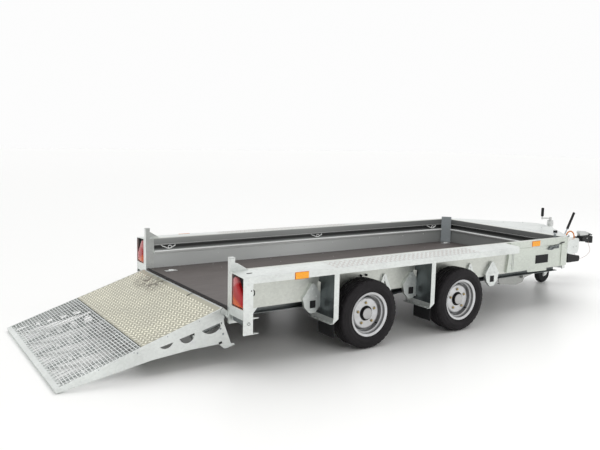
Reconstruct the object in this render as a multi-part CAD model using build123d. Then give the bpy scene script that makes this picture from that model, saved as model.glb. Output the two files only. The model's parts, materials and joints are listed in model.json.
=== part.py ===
from build123d import *
from math import asin, atan2, cos, degrees, hypot, radians, sin, tan
import os

os.makedirs("parts", exist_ok=True)

# A galvanised twin-axle plant trailer with its ramp tailboard lowered.
# Millimetres, +X to the hitch, +Y to the left, +Z up, Z = 0 on the ground.
# Each function works from the rear edge of the load floor; save() moves a piece to the
# origin, which lies on the ground midway between the ramp's toe and the coupling's nose.

# Load bed
BED_LENGTH = 3660
BED_WIDTH = 1560
FLOOR_TOP = 396
FLOOR_THICK = 18
SIDE_TOP = 659
WALL_THICK = 26
LEDGE_TOP = 546
LEDGE_DEPTH = 18
LEDGE_OUT = 12
SLOT_TOP = 602
SLOT_DEPTH = 16
RAIL_OUT = 4
REAR_GAP = 5
CORNER_LEG = 78
CORNER_SHEET = 7.5
CORNER_RISE = 31
half_bed = BED_WIDTH / 2
floor_under = FLOOR_TOP - FLOOR_THICK
wall_outer = half_bed + WALL_THICK
head_outer = BED_LENGTH + WALL_THICK

# Sheet and clearances
SHEET = 4
FIT_GAP = 0.3
CLEAR = 5

# Chassis
RAIL_WIDE = 50
RAIL_DEEP = 60
RAIL_INSET = 35
CROSS_WIDE = 45
CROSS_PITCH = 592
CROSS_COUNT = 6
BEAM_REAR = 8
BEAM_DEPTH = 60
rail_under = floor_under - RAIL_DEEP
rail_outer = half_bed - RAIL_INSET
beam_front = BEAM_REAR + BEAM_DEPTH

# Running gear
TYRE_RADIUS = 263.5
TYRE_WIDTH = 186
RIM_SEAT = 156
RIM_LIP = 169
RIM_WIDTH = 152
DISC_BEND = 122
DISC_FACE = 28
DISC_SHEET = 5
WHEEL_OUT = 147
AXLE_X = {"rear": 1080, "front": 2050}
AXLE_BEAM = 50
HUB_RADIUS = 72
HUB_BACK = 28
HUB_CAP_RADIUS = 43
HUB_CAP_OUT = 22
STUB_RADIUS = 24
STUB_END = 30
CENTRE_BORE = 55
DRUM_RADIUS = 104
DRUM_BACK = 35
SPRING_INSET = 5
SPRING_WIDE = 50
SPRING_BEHIND = 405
SPRING_AHEAD = 565
SPRING_RISE = 53
SHORT_BEHIND = 250
SHORT_AHEAD = 330
LEAF_THICK = 10
CLAMP_HALF = 52
BUSH_HALF = 16
BUSH_TALL = 36
HANGER_DEEP = 24
HANGER_SHEET = 5
BRACE_AHEAD = 290
BRACE_DEEP = 16
wheel_y = half_bed + WHEEL_OUT
spring_y = half_bed - SPRING_INSET
axle_top = TYRE_RADIUS + AXLE_BEAM / 2
spring_base = axle_top + FIT_GAP
main_leaf = spring_base + LEAF_THICK
bush_z = main_leaf + SPRING_RISE + LEAF_THICK / 2

# Mudguard shelves, struts and flaps
SHELF_WIDE = 200
SHELF_LIP = 57
SHELF_DROP = 12
SHELF_AHEAD = 740
SHELF_BEVEL = 45
STRUT_BEHIND = {"rear": 315, "front": 328}
STRUT_INSET = 4
STRUT_WIDE = 44
STRUT_LOW = 235
STRUT_CUT = 32
STRUT_FOOT = 30
STRUT_REACH = 88
FLAP_THICK = 6
FLAP_LOW = 130
FLAP_WIDE = 190
FLAP_LAP = 50
shelf_outer = wall_outer + SHELF_WIDE
shelf_low_top = SIDE_TOP - SHELF_DROP
shelf_front = AXLE_X["front"] + SHELF_AHEAD
strut_outer = shelf_outer - STRUT_INSET
lip_low = SIDE_TOP - SHELF_LIP

# Rear posts and lamps
POST_DEEP = 74
POST_SHEET = 5
POST_LOW = 256
POST_LIP = 30
SOCKET_WIDE = 60
STAKE = 36
STAKE_RISE = 93
LAMP_LOW = 430
LAMP_TOP = 640
window_in = half_bed + SOCKET_WIDE
window_out = shelf_outer - POST_SHEET

# Ramp tailboard
RAMP_LENGTH = 1180
RAMP_INSET = 20
RAMP_TOE = 28
RAMP_TREAD = 600
RAMP_SHEET = 6
HINGE_X = -28
HINGE_RADIUS = 24
PIN_RADIUS = 10
EAR_THICK = 10
EAR_RADIUS = 20
EAR_INSET = 6
EAR_INNER_Y = 260
ramp_half = half_bed - RAMP_INSET
ear_y = [half_bed - EAR_INSET, EAR_INNER_Y]
hinge_z = FLOOR_TOP - HINGE_RADIUS

# Drawbar, coupling and jockey wheel, as distances ahead of the load floor where they end in AHEAD
DRAW_REAR_AHEAD = -360
DRAW_TIP_AHEAD = 1040
DRAW_WIDE = 50
DRAW_DEEP = 68
DRAW_RISE = 95
DRAW_ROOT_INSET = 180
DRAW_TIP_Y = 100
HEAD_SHEET = 6
HEAD_AHEAD = 1000
HEAD_LONG = 340
NOSE_AHEAD = 1670
BALL_BACK = 40
BALL_Z = 405
BALL_RADIUS = 25
JOCKEY_AHEAD = 780
JOCKEY_Y = -60
JOCKEY_TUBE = 30
JOCKEY_LEG = 24
JOCKEY_RADIUS = 100
JOCKEY_TRAIL = 88
JOCKEY_WIDTH = 60
JOCKEY_LIFT = 110
JOCKEY_TOP = 690
PLATE_THICK = 12
CHOCK_INNER = -246
CHOCK_WIDE = 76
nose_x = BED_LENGTH + NOSE_AHEAD
ball_x = nose_x - BALL_BACK
jockey_x = BED_LENGTH + JOCKEY_AHEAD
draw_root_y = half_bed - DRAW_ROOT_INSET

# The ramp lies from the hinge down to the ground, so its slope follows from its sizes.
toe_reach = hypot(RAMP_LENGTH, RAMP_TOE - HINGE_RADIUS)
ramp_slope = asin(hinge_z / toe_reach) - atan2(RAMP_TOE - HINGE_RADIUS, RAMP_LENGTH)
toe_x = HINGE_X - RAMP_LENGTH * cos(ramp_slope) - HINGE_RADIUS * sin(ramp_slope)
origin_x = (toe_x + nose_x) / 2


def block(x0, x1, y0, y1, z0, z1):
    middle = Pos((x0 + x1) / 2, (y0 + y1) / 2, (z0 + z1) / 2)
    return middle * Box(x1 - x0, y1 - y0, z1 - z0)


def along_x(points, x0, x1):
    face = Plane.YZ.offset(x0) * make_face(Polyline(*points, close=True))
    return extrude(face, x1 - x0, dir=(1, 0, 0))


def along_y(points, y0, y1):
    face = Plane.XZ.offset(-y0) * make_face(Polyline(*points, close=True))
    return extrude(face, y1 - y0, dir=(0, 1, 0))


def along_z(points, z0, z1):
    face = Plane.XY.offset(z0) * make_face(Polyline(*points, close=True))
    return extrude(face, z1 - z0, dir=(0, 0, 1))


def rod_y(x, z, y0, y1, radius):
    return Pos(x, (y0 + y1) / 2, z) * Rot(90, 0, 0) * Cylinder(radius, y1 - y0)


def rod_x(y, z, x0, x1, radius):
    return Pos((x0 + x1) / 2, y, z) * Rot(0, 90, 0) * Cylinder(radius, x1 - x0)


def rod_z(x, y, z0, z1, radius):
    return Pos(x, y, (z0 + z1) / 2) * Cylinder(radius, z1 - z0)


def rod_between(start, end, radius):
    start, end = Vector(*start), Vector(*end)
    run = end - start
    return extrude(Plane(start, z_dir=run) * Circle(radius), run.length)


def channel(web, end, low, deep, sheet):
    """A C section as (across, height) points: its web at web and its flanges out to end."""
    inside = web + sheet if end > web else web - sheet
    return [
        (web, low),
        (end, low),
        (end, low + sheet),
        (inside, low + sheet),
        (inside, low + deep - sheet),
        (end, low + deep - sheet),
        (end, low + deep),
        (web, low + deep),
    ]


def mirrored(shape):
    return mirror(shape, about=Plane.XZ)


def both(shape):
    return [shape, mirrored(shape)]


def fused(shapes):
    first, *rest = shapes
    return first.fuse(*rest) if rest else first


def save(name, *pieces):
    solids = [Pos(-origin_x, 0, 0) * solid for piece in pieces for solid in piece.solids()]
    export_step(Compound(solids), f"parts/{name}.step")


# Load bed


def corner_outline(clearance):
    """The folded corner post's plan, or with a clearance the edge of its notch in the floor."""
    inner = (BED_LENGTH - LEDGE_OUT - FIT_GAP, half_bed - LEDGE_OUT - FIT_GAP)
    return [
        (inner[0] - CORNER_LEG - clearance, inner[1]),
        (inner[0], inner[1] - CORNER_LEG - clearance),
        (inner[0], inner[1] - CORNER_LEG + CORNER_SHEET),
        (inner[0] - CORNER_LEG + CORNER_SHEET, inner[1]),
    ]


def corner_post():
    return along_z(corner_outline(0), floor_under, SIDE_TOP + CORNER_RISE)


def bed_floor():
    floor = block(REAR_GAP, BED_LENGTH, -half_bed, half_bed, floor_under, FLOOR_TOP)
    start, end, *_ = corner_outline(FIT_GAP)
    notch = [
        start,
        end,
        (BED_LENGTH + 1, end[1]),
        (BED_LENGTH + 1, half_bed + 1),
        (start[0], half_bed + 1),
    ]
    corner = along_z(notch, floor_under - 1, FLOOR_TOP + 1)
    return floor - corner - mirrored(corner)


def wall_profile():
    """(distance out from the bed's inner face, height) round a pressed side."""
    return [
        (0, floor_under),
        (0, LEDGE_TOP - LEDGE_DEPTH),
        (-LEDGE_OUT, LEDGE_TOP - LEDGE_DEPTH),
        (-LEDGE_OUT, LEDGE_TOP),
        (SLOT_DEPTH, LEDGE_TOP),
        (SLOT_DEPTH, SLOT_TOP),
        (-RAIL_OUT, SLOT_TOP),
        (-RAIL_OUT, SIDE_TOP),
        (WALL_THICK, SIDE_TOP),
        (WALL_THICK, floor_under),
    ]


def side_wall():
    outline = [(half_bed + out, height) for out, height in wall_profile()]
    return along_x(outline, POST_DEEP, head_outer)


def headboard():
    outline = [(BED_LENGTH + out, height) for out, height in wall_profile()]
    corner = half_bed - LEDGE_OUT
    return along_y(outline, -corner, corner)


PANEL_GAP = 25
PANEL_LEAN = 35
PANEL_OUT = 24
PANEL_STEP = 6
PANEL_LOW = 386
PANEL_RAIL = 58
PANEL_FOOT = [
    # (distance back from the panel's front edge, drop below the panel)
    (590, 0),
    (575, 22),
    (300, 28),
    (300, 0),
]
PANEL_PAD_BACK = 96
PANEL_PAD_WIDE = 34
panel_outer = wall_outer + PANEL_OUT


def front_panel():
    face = panel_outer - PANEL_STEP
    rail_low = SIDE_TOP - PANEL_RAIL
    outline = [
        (wall_outer, PANEL_LOW),
        (face, PANEL_LOW),
        (face, rail_low - PANEL_STEP),
        (panel_outer, rail_low),
        (panel_outer, SIDE_TOP),
        (wall_outer, SIDE_TOP),
    ]
    rear = shelf_front + PANEL_GAP
    lean = [
        (rear - 1, PANEL_LOW - 1),
        (rear, PANEL_LOW - 1),
        (rear + PANEL_LEAN, SIDE_TOP + 1),
        (rear - 1, SIDE_TOP + 1),
    ]
    panel = along_x(outline, rear, head_outer) - along_y(lean, wall_outer - 1, panel_outer + 1)
    foot = [(head_outer - back, PANEL_LOW - drop) for back, drop in PANEL_FOOT]
    pad = head_outer - PANEL_PAD_BACK
    return fused([
        panel,
        along_y(foot, face - SHEET, face),
        block(pad, pad + PANEL_PAD_WIDE, face, panel_outer, PANEL_LOW, rail_low - PANEL_STEP),
    ])


REFLECTOR_WIDE = 106
REFLECTOR_TALL = 44
REFLECTOR_THICK = 6
REFLECTOR_SHELF_X = 458
REFLECTOR_PANEL_BACK = 486


def side_reflectors():
    rows = [
        # (centre x, face it sits on, centre z)
        (REFLECTOR_SHELF_X, shelf_outer, (lip_low + shelf_low_top) / 2),
        (head_outer - REFLECTOR_PANEL_BACK, panel_outer, SIDE_TOP - PANEL_RAIL / 2),
    ]
    wide, tall = REFLECTOR_WIDE / 2, REFLECTOR_TALL / 2
    return [
        block(x - wide, x + wide, face, face + REFLECTOR_THICK, z - tall, z + tall)
        for x, face, z in rows
    ]


# Chassis


def chassis_rail():
    outline = channel(rail_outer - RAIL_WIDE, rail_outer, rail_under, RAIL_DEEP, SHEET)
    return along_x(outline, beam_front, BED_LENGTH)


def crossmembers():
    reach = rail_outer - RAIL_WIDE
    pieces = []
    for index in range(CROSS_COUNT):
        front = BED_LENGTH - index * CROSS_PITCH
        outline = channel(front - CROSS_WIDE, front, rail_under, RAIL_DEEP, SHEET)
        pieces.append(along_y(outline, -reach, reach))
    return pieces


def rear_hinge_beam():
    shell = [BEAM_REAR, beam_front, -half_bed, half_bed, rail_under, floor_under]
    inset = [SHEET, -SHEET, SHEET, -SHEET, SHEET, -SHEET]
    pieces = [block(*shell) - block(*[edge + step for edge, step in zip(shell, inset)])]
    for y in ear_y + [-y for y in ear_y]:
        low, high = y - EAR_THICK / 2, y + EAR_THICK / 2
        arm = [
            (HINGE_X, hinge_z - EAR_RADIUS),
            (BEAM_REAR, rail_under),
            (BEAM_REAR, floor_under),
            (HINGE_X, hinge_z + EAR_RADIUS * 0.2),
        ]
        pieces.append(along_y(arm, low, high))
        pieces.append(rod_y(HINGE_X, hinge_z, low, high, EAR_RADIUS))
    pin_reach = ear_y[0] + EAR_THICK / 2
    pieces.append(rod_y(HINGE_X, hinge_z, -pin_reach, pin_reach, PIN_RADIUS))
    return fused(pieces)


# Ramp tailboard, drawn with its hinge axis at the origin and its deck level

RAMP_SIDE = [
    # (x, z) round the side plate ahead of the toe
    (-891, -47),
    (-569, -90),
    (-300, -150),
    (-100, -208),
    (-69, -258),
    (-40, -266),
    (-22, -262),
    (-11, -242),
    (-16, -90),
    (0, -20),
    (0, HINGE_RADIUS),
]
RAMP_BAND = 4
BAND_EDGE = [
    # (x, z) along the lower edge of the rolled band, ahead of the toe
    (-608, -2),
    (-2, -50),
    (-2, HINGE_RADIUS),
]
D_CUTS = [
    # (middle x, height of the flat top, half width, depth)
    (-105, -66, 80, 50),
    (-293, -48, 56, 49),
    (-443, -39, 47, 25),
]
D_LEAN = 4
FOOT_FLANGE = 52
FOOT_EDGE = [(-11, -242), (-16, -90), (-22, -90), (-17, -242)]
HOOK = [(-28, -262), (-12, -246), (8, -252), (14, -262), (8, -272), (0, -262), (-14, -270)]
RAMP_RIBS = [-630, -315, 0, 315, 630]
RIB_SHEET = 5
RIB_FLANGE = 42
RIB_FRONT = [(-30, -95), (-14, -HINGE_RADIUS)]
RIB_MESH_DEPTH = 85
RIB_HOLES = [
    # (x, radius)
    (-660, 34),
    (-772, 28),
    (-880, 22),
    (-970, 17),
]
RIB_HOLE_SIDES = 10
BAR_THICK = 6
BAR_HALF = 2
LONG_PITCH = 53
CROSS_MESH_PITCH = 23
LEDGE_BAR = 18
TREAD_THICK = 3
TOE_WIDE = 34
COIL_RADIUS = 20
COIL_INSET = 45
COIL_Z = -84
COIL_ENDS = (-250, -40)
ear_gap = EAR_THICK / 2 + CLEAR
ramp_inner = ramp_half - RAMP_SHEET
deck_reach = ramp_inner - FIT_GAP
deck_under = HINGE_RADIUS - TREAD_THICK
mesh_under = HINGE_RADIUS - 2 * BAR_THICK
toe_low = HINGE_RADIUS - RAMP_TOE
toe_end = TOE_WIDE - RAMP_LENGTH
toe_web = SHEET - RAMP_LENGTH


def ramp_place(shape):
    return Pos(HINGE_X, 0, hinge_z) * Rot(0, -degrees(ramp_slope), 0) * shape


def rib_bottom(x):
    """Height of a rib's lower edge, which tapers under the mesh."""
    run = (x + RAMP_TREAD) / (RAMP_TREAD - RAMP_LENGTH)
    return -RIB_MESH_DEPTH + run * (toe_low + RIB_MESH_DEPTH)


def ramp_side():
    toe = [(-RAMP_LENGTH, HINGE_RADIUS), (-RAMP_LENGTH, toe_low)]
    side = along_y(toe + RAMP_SIDE, ramp_inner, ramp_half)
    for x, top, half, depth in D_CUTS:
        left, right = (x - half, top + D_LEAN), (x + half, top - D_LEAN)
        edge = Line(right, left) + ThreePointArc(left, (x, top - depth), right)
        face = Plane.XZ.offset(-ramp_inner + 1) * make_face(edge)
        side = side - extrude(face, RAMP_SHEET + 2, dir=(0, 1, 0))
    band = [(-RAMP_LENGTH, HINGE_RADIUS), (-RAMP_LENGTH, toe_low)] + BAND_EDGE
    return fused([
        side,
        along_y(band, ramp_half, ramp_half + RAMP_BAND),
        along_y(FOOT_EDGE, ramp_half - FOOT_FLANGE, ramp_half),
        along_y(HOOK, ramp_inner, ramp_half),
    ])


def ramp_rib(y):
    outline = [
        (-14, deck_under),
        (-RAMP_TREAD, deck_under),
        (-RAMP_TREAD, mesh_under),
        (toe_end, mesh_under),
        (toe_end, HINGE_RADIUS - SHEET),
        (toe_web, HINGE_RADIUS - SHEET),
        (toe_web, rib_bottom(toe_web)),
        (-RAMP_TREAD, -RIB_MESH_DEPTH),
        *RIB_FRONT,
    ]
    rib = along_y(outline, y, y + RIB_SHEET)
    for x, radius in RIB_HOLES:
        middle = (mesh_under + rib_bottom(x)) / 2
        face = Plane.XZ.offset(1 - y) * Pos(x, middle) * RegularPolygon(radius, RIB_HOLE_SIDES)
        rib = rib - extrude(face, RIB_SHEET + 2, dir=(0, 1, 0))
    foot = [(toe_web, rib_bottom(toe_web)), (-RAMP_TREAD, -RIB_MESH_DEPTH), RIB_FRONT[0]]
    flange = foot + [(x, z + RIB_SHEET) for x, z in foot[::-1]]
    return rib.fuse(along_y(flange, y, y + RIB_FLANGE))


def coil_spring():
    """The assist spring along a side, as a plain roll between two lugs."""
    coil_y = ramp_half - COIL_INSET
    near = coil_y - COIL_RADIUS
    low, high = COIL_Z - COIL_RADIUS, COIL_Z + COIL_RADIUS
    lugs = [block(x - SHEET, x + SHEET, near, ramp_inner + 1, low, high) for x in COIL_ENDS]
    return [rod_x(coil_y, COIL_Z, *COIL_ENDS, COIL_RADIUS), *lugs]


def ramp_frame():
    spans = [
        (ear_y[1] + ear_gap, ramp_inner),
        (-ear_y[1] + ear_gap, ear_y[1] - ear_gap),
        (-ramp_inner, -ear_y[1] - ear_gap),
    ]
    side = fused([ramp_side(), *coil_spring()])
    pieces = [side, mirrored(side)]
    for low, high in spans:
        pieces.append(rod_y(0, 0, low, high, HINGE_RADIUS))
    pieces += [ramp_rib(y) for y in RAMP_RIBS]
    toe = [
        (-RAMP_LENGTH, HINGE_RADIUS),
        (toe_end, HINGE_RADIUS),
        (toe_end, HINGE_RADIUS - SHEET),
        (toe_web, HINGE_RADIUS - SHEET),
        (toe_web, toe_low),
        (-RAMP_LENGTH, toe_low),
    ]
    pieces.append(along_y(toe, -ramp_inner, ramp_inner))
    for x in (toe_end, -RAMP_TREAD - LEDGE_BAR):
        ledge = block(x, x + LEDGE_BAR, -ramp_inner, ramp_inner, mesh_under - SHEET, mesh_under)
        pieces.append(ledge)
    bore = rod_y(0, 0, 0, ramp_half + 2 * RAMP_BAND, PIN_RADIUS + FIT_GAP)
    return ramp_place(fused(pieces) - bore - mirrored(bore))


def ramp_tread():
    plate = block(-RAMP_TREAD, -2, -deck_reach, deck_reach, deck_under, HINGE_RADIUS)
    plate = plate - rod_y(0, 0, -ramp_half, ramp_half, HINGE_RADIUS + FIT_GAP / 3)
    for y in ear_y + [-y for y in ear_y]:
        notch = block(-HINGE_RADIUS - 16, 1, y - ear_gap, y + ear_gap, 0, HINGE_RADIUS + 1)
        plate = plate - notch
    return ramp_place(plate)


def ramp_mesh():
    front, rear = -RAMP_TREAD - FIT_GAP, toe_end + FIT_GAP
    long_top = mesh_under + BAR_THICK - FIT_GAP
    bars = []
    count = int(2 * deck_reach // LONG_PITCH)
    for index in range(count):
        y = (index - (count - 1) / 2) * LONG_PITCH
        bars.append(block(rear, front, y - BAR_HALF, y + BAR_HALF, mesh_under, long_top))
    for index in range(int((front - rear) // CROSS_MESH_PITCH)):
        x = front - (index + 0.5) * CROSS_MESH_PITCH
        low = mesh_under + BAR_THICK
        bars.append(block(x - BAR_HALF, x + BAR_HALF, -deck_reach, deck_reach, low, HINGE_RADIUS))
    return [ramp_place(bar) for bar in bars]


# Rear posts and lamps

SILL = 25
TIE_LOW = 360
TAB_REACH = 46
TAB_INNER = 64
TAB_Z = [POST_LOW, 362]
GUSSET_REACH = 146
GUSSET_LOW = 292
ASSIST_X = 40
ASSIST_Z = 334
ASSIST_ROD = 9
ASSIST_COIL = 22
ASSIST_END = 12
BRACE_LOW_X = 140
BRACE_TOP = 57
sill_low = LAMP_LOW - SILL
half_inner = half_bed + FIT_GAP


def rear_post():
    pieces = [
        block(0, POST_DEEP, window_out, shelf_outer, POST_LOW, shelf_low_top),
        block(POST_DEEP - SHEET, POST_DEEP, window_out - POST_LIP, shelf_outer, POST_LOW, LAMP_TOP),
        block(0, POST_DEEP, half_bed, window_in, FLOOR_TOP, SIDE_TOP),
        block(0, STAKE, half_bed, half_bed + STAKE, SIDE_TOP, SIDE_TOP + STAKE_RISE),
        block(0, POST_DEEP, half_inner, wall_outer, floor_under, FLOOR_TOP),
        rod_y(ASSIST_X, ASSIST_Z, shelf_outer, shelf_outer + POST_SHEET, ASSIST_END),
        rod_y(ASSIST_X, ASSIST_Z, wall_outer, window_out, ASSIST_ROD),
        rod_y(ASSIST_X, ASSIST_Z, wall_outer + 12, window_out - 12, ASSIST_COIL),
    ]
    top = [
        (half_bed, SIDE_TOP - POST_SHEET),
        (shelf_outer, shelf_low_top - POST_SHEET),
        (shelf_outer, shelf_low_top),
        (wall_outer, SIDE_TOP),
        (half_bed, SIDE_TOP),
    ]
    pieces.append(along_x(top, 0, POST_DEEP))
    for low, high in ((sill_low, LAMP_LOW), (TIE_LOW, sill_low)):
        pieces.append(along_y(channel(0, POST_DEEP, low, high - low, SHEET), half_inner, window_out))
    for z in TAB_Z:
        tab = [
            (POST_DEEP, shelf_outer),
            (POST_DEEP + TAB_REACH, shelf_outer - POST_SHEET),
            (POST_DEEP, shelf_outer - TAB_INNER),
        ]
        pieces.append(along_z(tab, z, z + POST_SHEET))
    brace = [
        (STAKE, SIDE_TOP + BRACE_TOP),
        (STAKE + SHEET * 5, SIDE_TOP + BRACE_TOP - POST_SHEET),
        (BRACE_LOW_X, SIDE_TOP),
        (STAKE, SIDE_TOP),
    ]
    pieces.append(along_y(brace, half_bed + STAKE - POST_SHEET, half_bed + STAKE))
    gusset = [
        (0, floor_under),
        (POST_DEEP + GUSSET_REACH, floor_under),
        (POST_DEEP + GUSSET_REACH / 2, GUSSET_LOW),
        (0, GUSSET_LOW),
    ]
    pieces.append(along_y(gusset, half_inner, wall_outer))
    return fused(pieces)


LAMP_FRONT = 26
LAMP_BACK = 66
LENS_REAR = 4
LENS_SPAN = 161
LENS = [
    # (distance from the window's inner edge, height above its lower edge)
    (12, 6),
    (150, 10),
    (150, 96),
    (86, 192),
    (56, 203),
    (12, 198),
]


def lamp_housing():
    low, high = window_in + FIT_GAP, window_out - FIT_GAP
    return block(LAMP_FRONT, LAMP_BACK, low, high, LAMP_LOW + FIT_GAP, LAMP_TOP)


def lamp_lens():
    scale = (window_out - window_in) / LENS_SPAN
    outline = [(window_in + across * scale, LAMP_LOW + up) for across, up in LENS]
    return along_x(outline, LENS_REAR, LAMP_FRONT)


# Mudguards


def mudguard_shelf():
    outline = [
        (wall_outer, SIDE_TOP - SHEET),
        (shelf_outer - SHEET, shelf_low_top - SHEET),
        (shelf_outer - SHEET, lip_low),
        (shelf_outer, lip_low),
        (shelf_outer, shelf_low_top),
        (wall_outer, SIDE_TOP),
    ]
    corner = [
        (shelf_front - SHELF_BEVEL, shelf_outer + 1),
        (shelf_front + 1, shelf_outer + 1),
        (shelf_front + 1, shelf_outer - SHELF_BEVEL),
    ]
    return along_x(outline, POST_DEEP, shelf_front) - along_z(corner, lip_low - 1, SIDE_TOP + 1)


def strut(x):
    rear, front = x - STRUT_WIDE / 2, x + STRUT_WIDE / 2
    inner = rail_outer - SHEET * 7
    clear_hanger = wall_outer + HANGER_DEEP
    web = [
        (wall_outer, lip_low - STRUT_REACH),
        (wall_outer, lip_low),
        (strut_outer, lip_low),
        (strut_outer, STRUT_LOW),
        (inner, STRUT_LOW),
        (inner, STRUT_LOW + 2 * STRUT_CUT * 0.7),
        (clear_hanger, STRUT_LOW + 2 * STRUT_CUT),
        (clear_hanger, lip_low - STRUT_REACH),
    ]
    flange = [
        (rear, STRUT_LOW),
        (front, STRUT_LOW + STRUT_CUT),
        (front, lip_low),
        (rear, lip_low),
    ]
    foot = [
        (rear - STRUT_FOOT, STRUT_LOW),
        (rear, STRUT_LOW),
        (rear, STRUT_LOW + STRUT_CUT),
        (rear - SHEET, STRUT_LOW + STRUT_CUT),
        (rear - SHEET, STRUT_LOW + SHEET),
        (rear - STRUT_FOOT, STRUT_LOW + SHEET),
    ]
    return fused([
        along_x(web, rear, rear + SHEET),
        along_y(flange, strut_outer - SHEET, strut_outer),
        along_y(foot, inner, strut_outer),
    ])


def mud_flap(x):
    rear = x - STRUT_WIDE / 2 + SHEET + FIT_GAP
    outer = strut_outer - SHEET - FIT_GAP
    return block(rear, rear + FLAP_THICK, outer - FLAP_WIDE, outer, FLAP_LOW, STRUT_LOW + FLAP_LAP)


# Axles and springs


def axle(x):
    half = AXLE_BEAM / 2
    reach = spring_y + SPRING_WIDE / 2
    beam = block(x - half, x + half, -reach, reach, TYRE_RADIUS - half, axle_top)
    half_axle = fused([
        rod_y(x, TYRE_RADIUS, reach, wheel_y + STUB_END, STUB_RADIUS),
        rod_y(x, TYRE_RADIUS, reach, wheel_y - DRUM_BACK, DRUM_RADIUS),
    ])
    return fused([beam, half_axle, mirrored(half_axle)])


def half_leaf(reach, bend, base, side):
    """Half of a bowed leaf as a face in XZ: level over the axle and rising to its end."""
    sweep = asin(reach / bend)
    inner = bend - LEAF_THICK

    def at(radius, angle):
        return side * radius * sin(angle), base + bend - radius * cos(angle)

    low = ThreePointArc(at(bend, 0), at(bend, sweep / 2), at(bend, sweep))
    top = ThreePointArc(at(inner, sweep), at(inner, sweep / 2), at(inner, 0))
    ends = Line(at(bend, sweep), at(inner, sweep)) + Line(at(inner, 0), at(bend, 0))
    return make_face(low + top + ends)


def leaf_spring(x):
    low = spring_y - SPRING_WIDE / 2
    rows = [
        # (span from the axle, span of the short leaf, which way)
        (SPRING_AHEAD, SHORT_AHEAD, 1),
        (SPRING_BEHIND, SHORT_BEHIND, -1),
    ]
    pieces = []
    for span, short, side in rows:
        reach = span - BUSH_HALF - FIT_GAP
        bend = (reach**2 + SPRING_RISE**2) / (2 * SPRING_RISE)
        leaves = [(reach, bend, main_leaf), (short, bend + LEAF_THICK, spring_base)]
        for length, radius, base in leaves:
            face = Plane.XZ.offset(-low) * half_leaf(length, radius, base, side)
            pieces.append(Pos(x, 0, 0) * extrude(face, SPRING_WIDE, dir=(0, 1, 0)))
    top = main_leaf + LEAF_THICK
    clamp = block(x - CLAMP_HALF, x + CLAMP_HALF, low, low + SPRING_WIDE, top - 1, top + SHEET * 2)
    return fused([*pieces, clamp])


HANGER = [
    # (distance ahead of the bush, height above it) round the pressed hanger
    (12, 150),
    (88, 46),
    (70, -22),
    (24, -70),
    (-24, -70),
    (-70, -22),
    (-88, 46),
    (-12, 150),
]
HANGER_MIDDLE = 38
BRACE = [
    # (distance ahead of its peak, height) round the inverted V brace
    (-10, 512),
    (10, 512),
    (66, 384),
    (66, 356),
    (42, 356),
    (0, 466),
    (-42, 356),
    (-66, 356),
    (-66, 384),
]


def hanger(x):
    outline = [(x + ahead, bush_z + up) for ahead, up in HANGER]
    hollow = []
    for ahead, up in HANGER:
        keep = 1 - HANGER_SHEET / hypot(ahead, up - HANGER_MIDDLE)
        hollow.append((x + ahead * keep, bush_z + HANGER_MIDDLE + (up - HANGER_MIDDLE) * keep))
    face = wall_outer + HANGER_DEEP
    return along_y(outline, wall_outer, face) - along_y(hollow, wall_outer - 1, face - HANGER_SHEET)


def bush(x):
    low, high = spring_y - SPRING_WIDE / 2, wall_outer + HANGER_DEEP - HANGER_SHEET - FIT_GAP
    return block(x - BUSH_HALF, x + BUSH_HALF, low, high, bush_z - BUSH_TALL / 2, bush_z + BUSH_TALL / 2)


def brace(x):
    outline = [(x + BRACE_AHEAD + ahead, height) for ahead, height in BRACE]
    return along_y(outline, wall_outer, wall_outer + BRACE_DEEP)


# Wheels, drawn with the axle along Y through the origin and the outer face at +Y


def tyre():
    half = TYRE_WIDTH / 2
    middle = (RIM_LIP + TYRE_RADIUS) / 2
    rows = [
        # (radius, distance out from the middle plane) from the bead to the tread's edge
        (RIM_SEAT, RIM_WIDTH / 2 - 14),
        (RIM_LIP + 1, RIM_WIDTH / 2 - 5),
        (middle - 6, half),
        (TYRE_RADIUS - 15, half - 10),
        (TYRE_RADIUS - 5, half - 19),
        (TYRE_RADIUS, half - 32),
    ]
    edges = []
    for side in (1, -1):
        bead, toe, belly, shoulder, crown, tread = [(radius, side * out) for radius, out in rows]
        edges += [Line(bead, toe), ThreePointArc(toe, belly, shoulder)]
        edges.append(ThreePointArc(shoulder, crown, tread))
    for radius, out in (rows[0], rows[-1]):
        edges.append(Line((radius, out), (radius, -out)))
    return revolve(make_face(edges), axis=Axis.Y)


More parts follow.
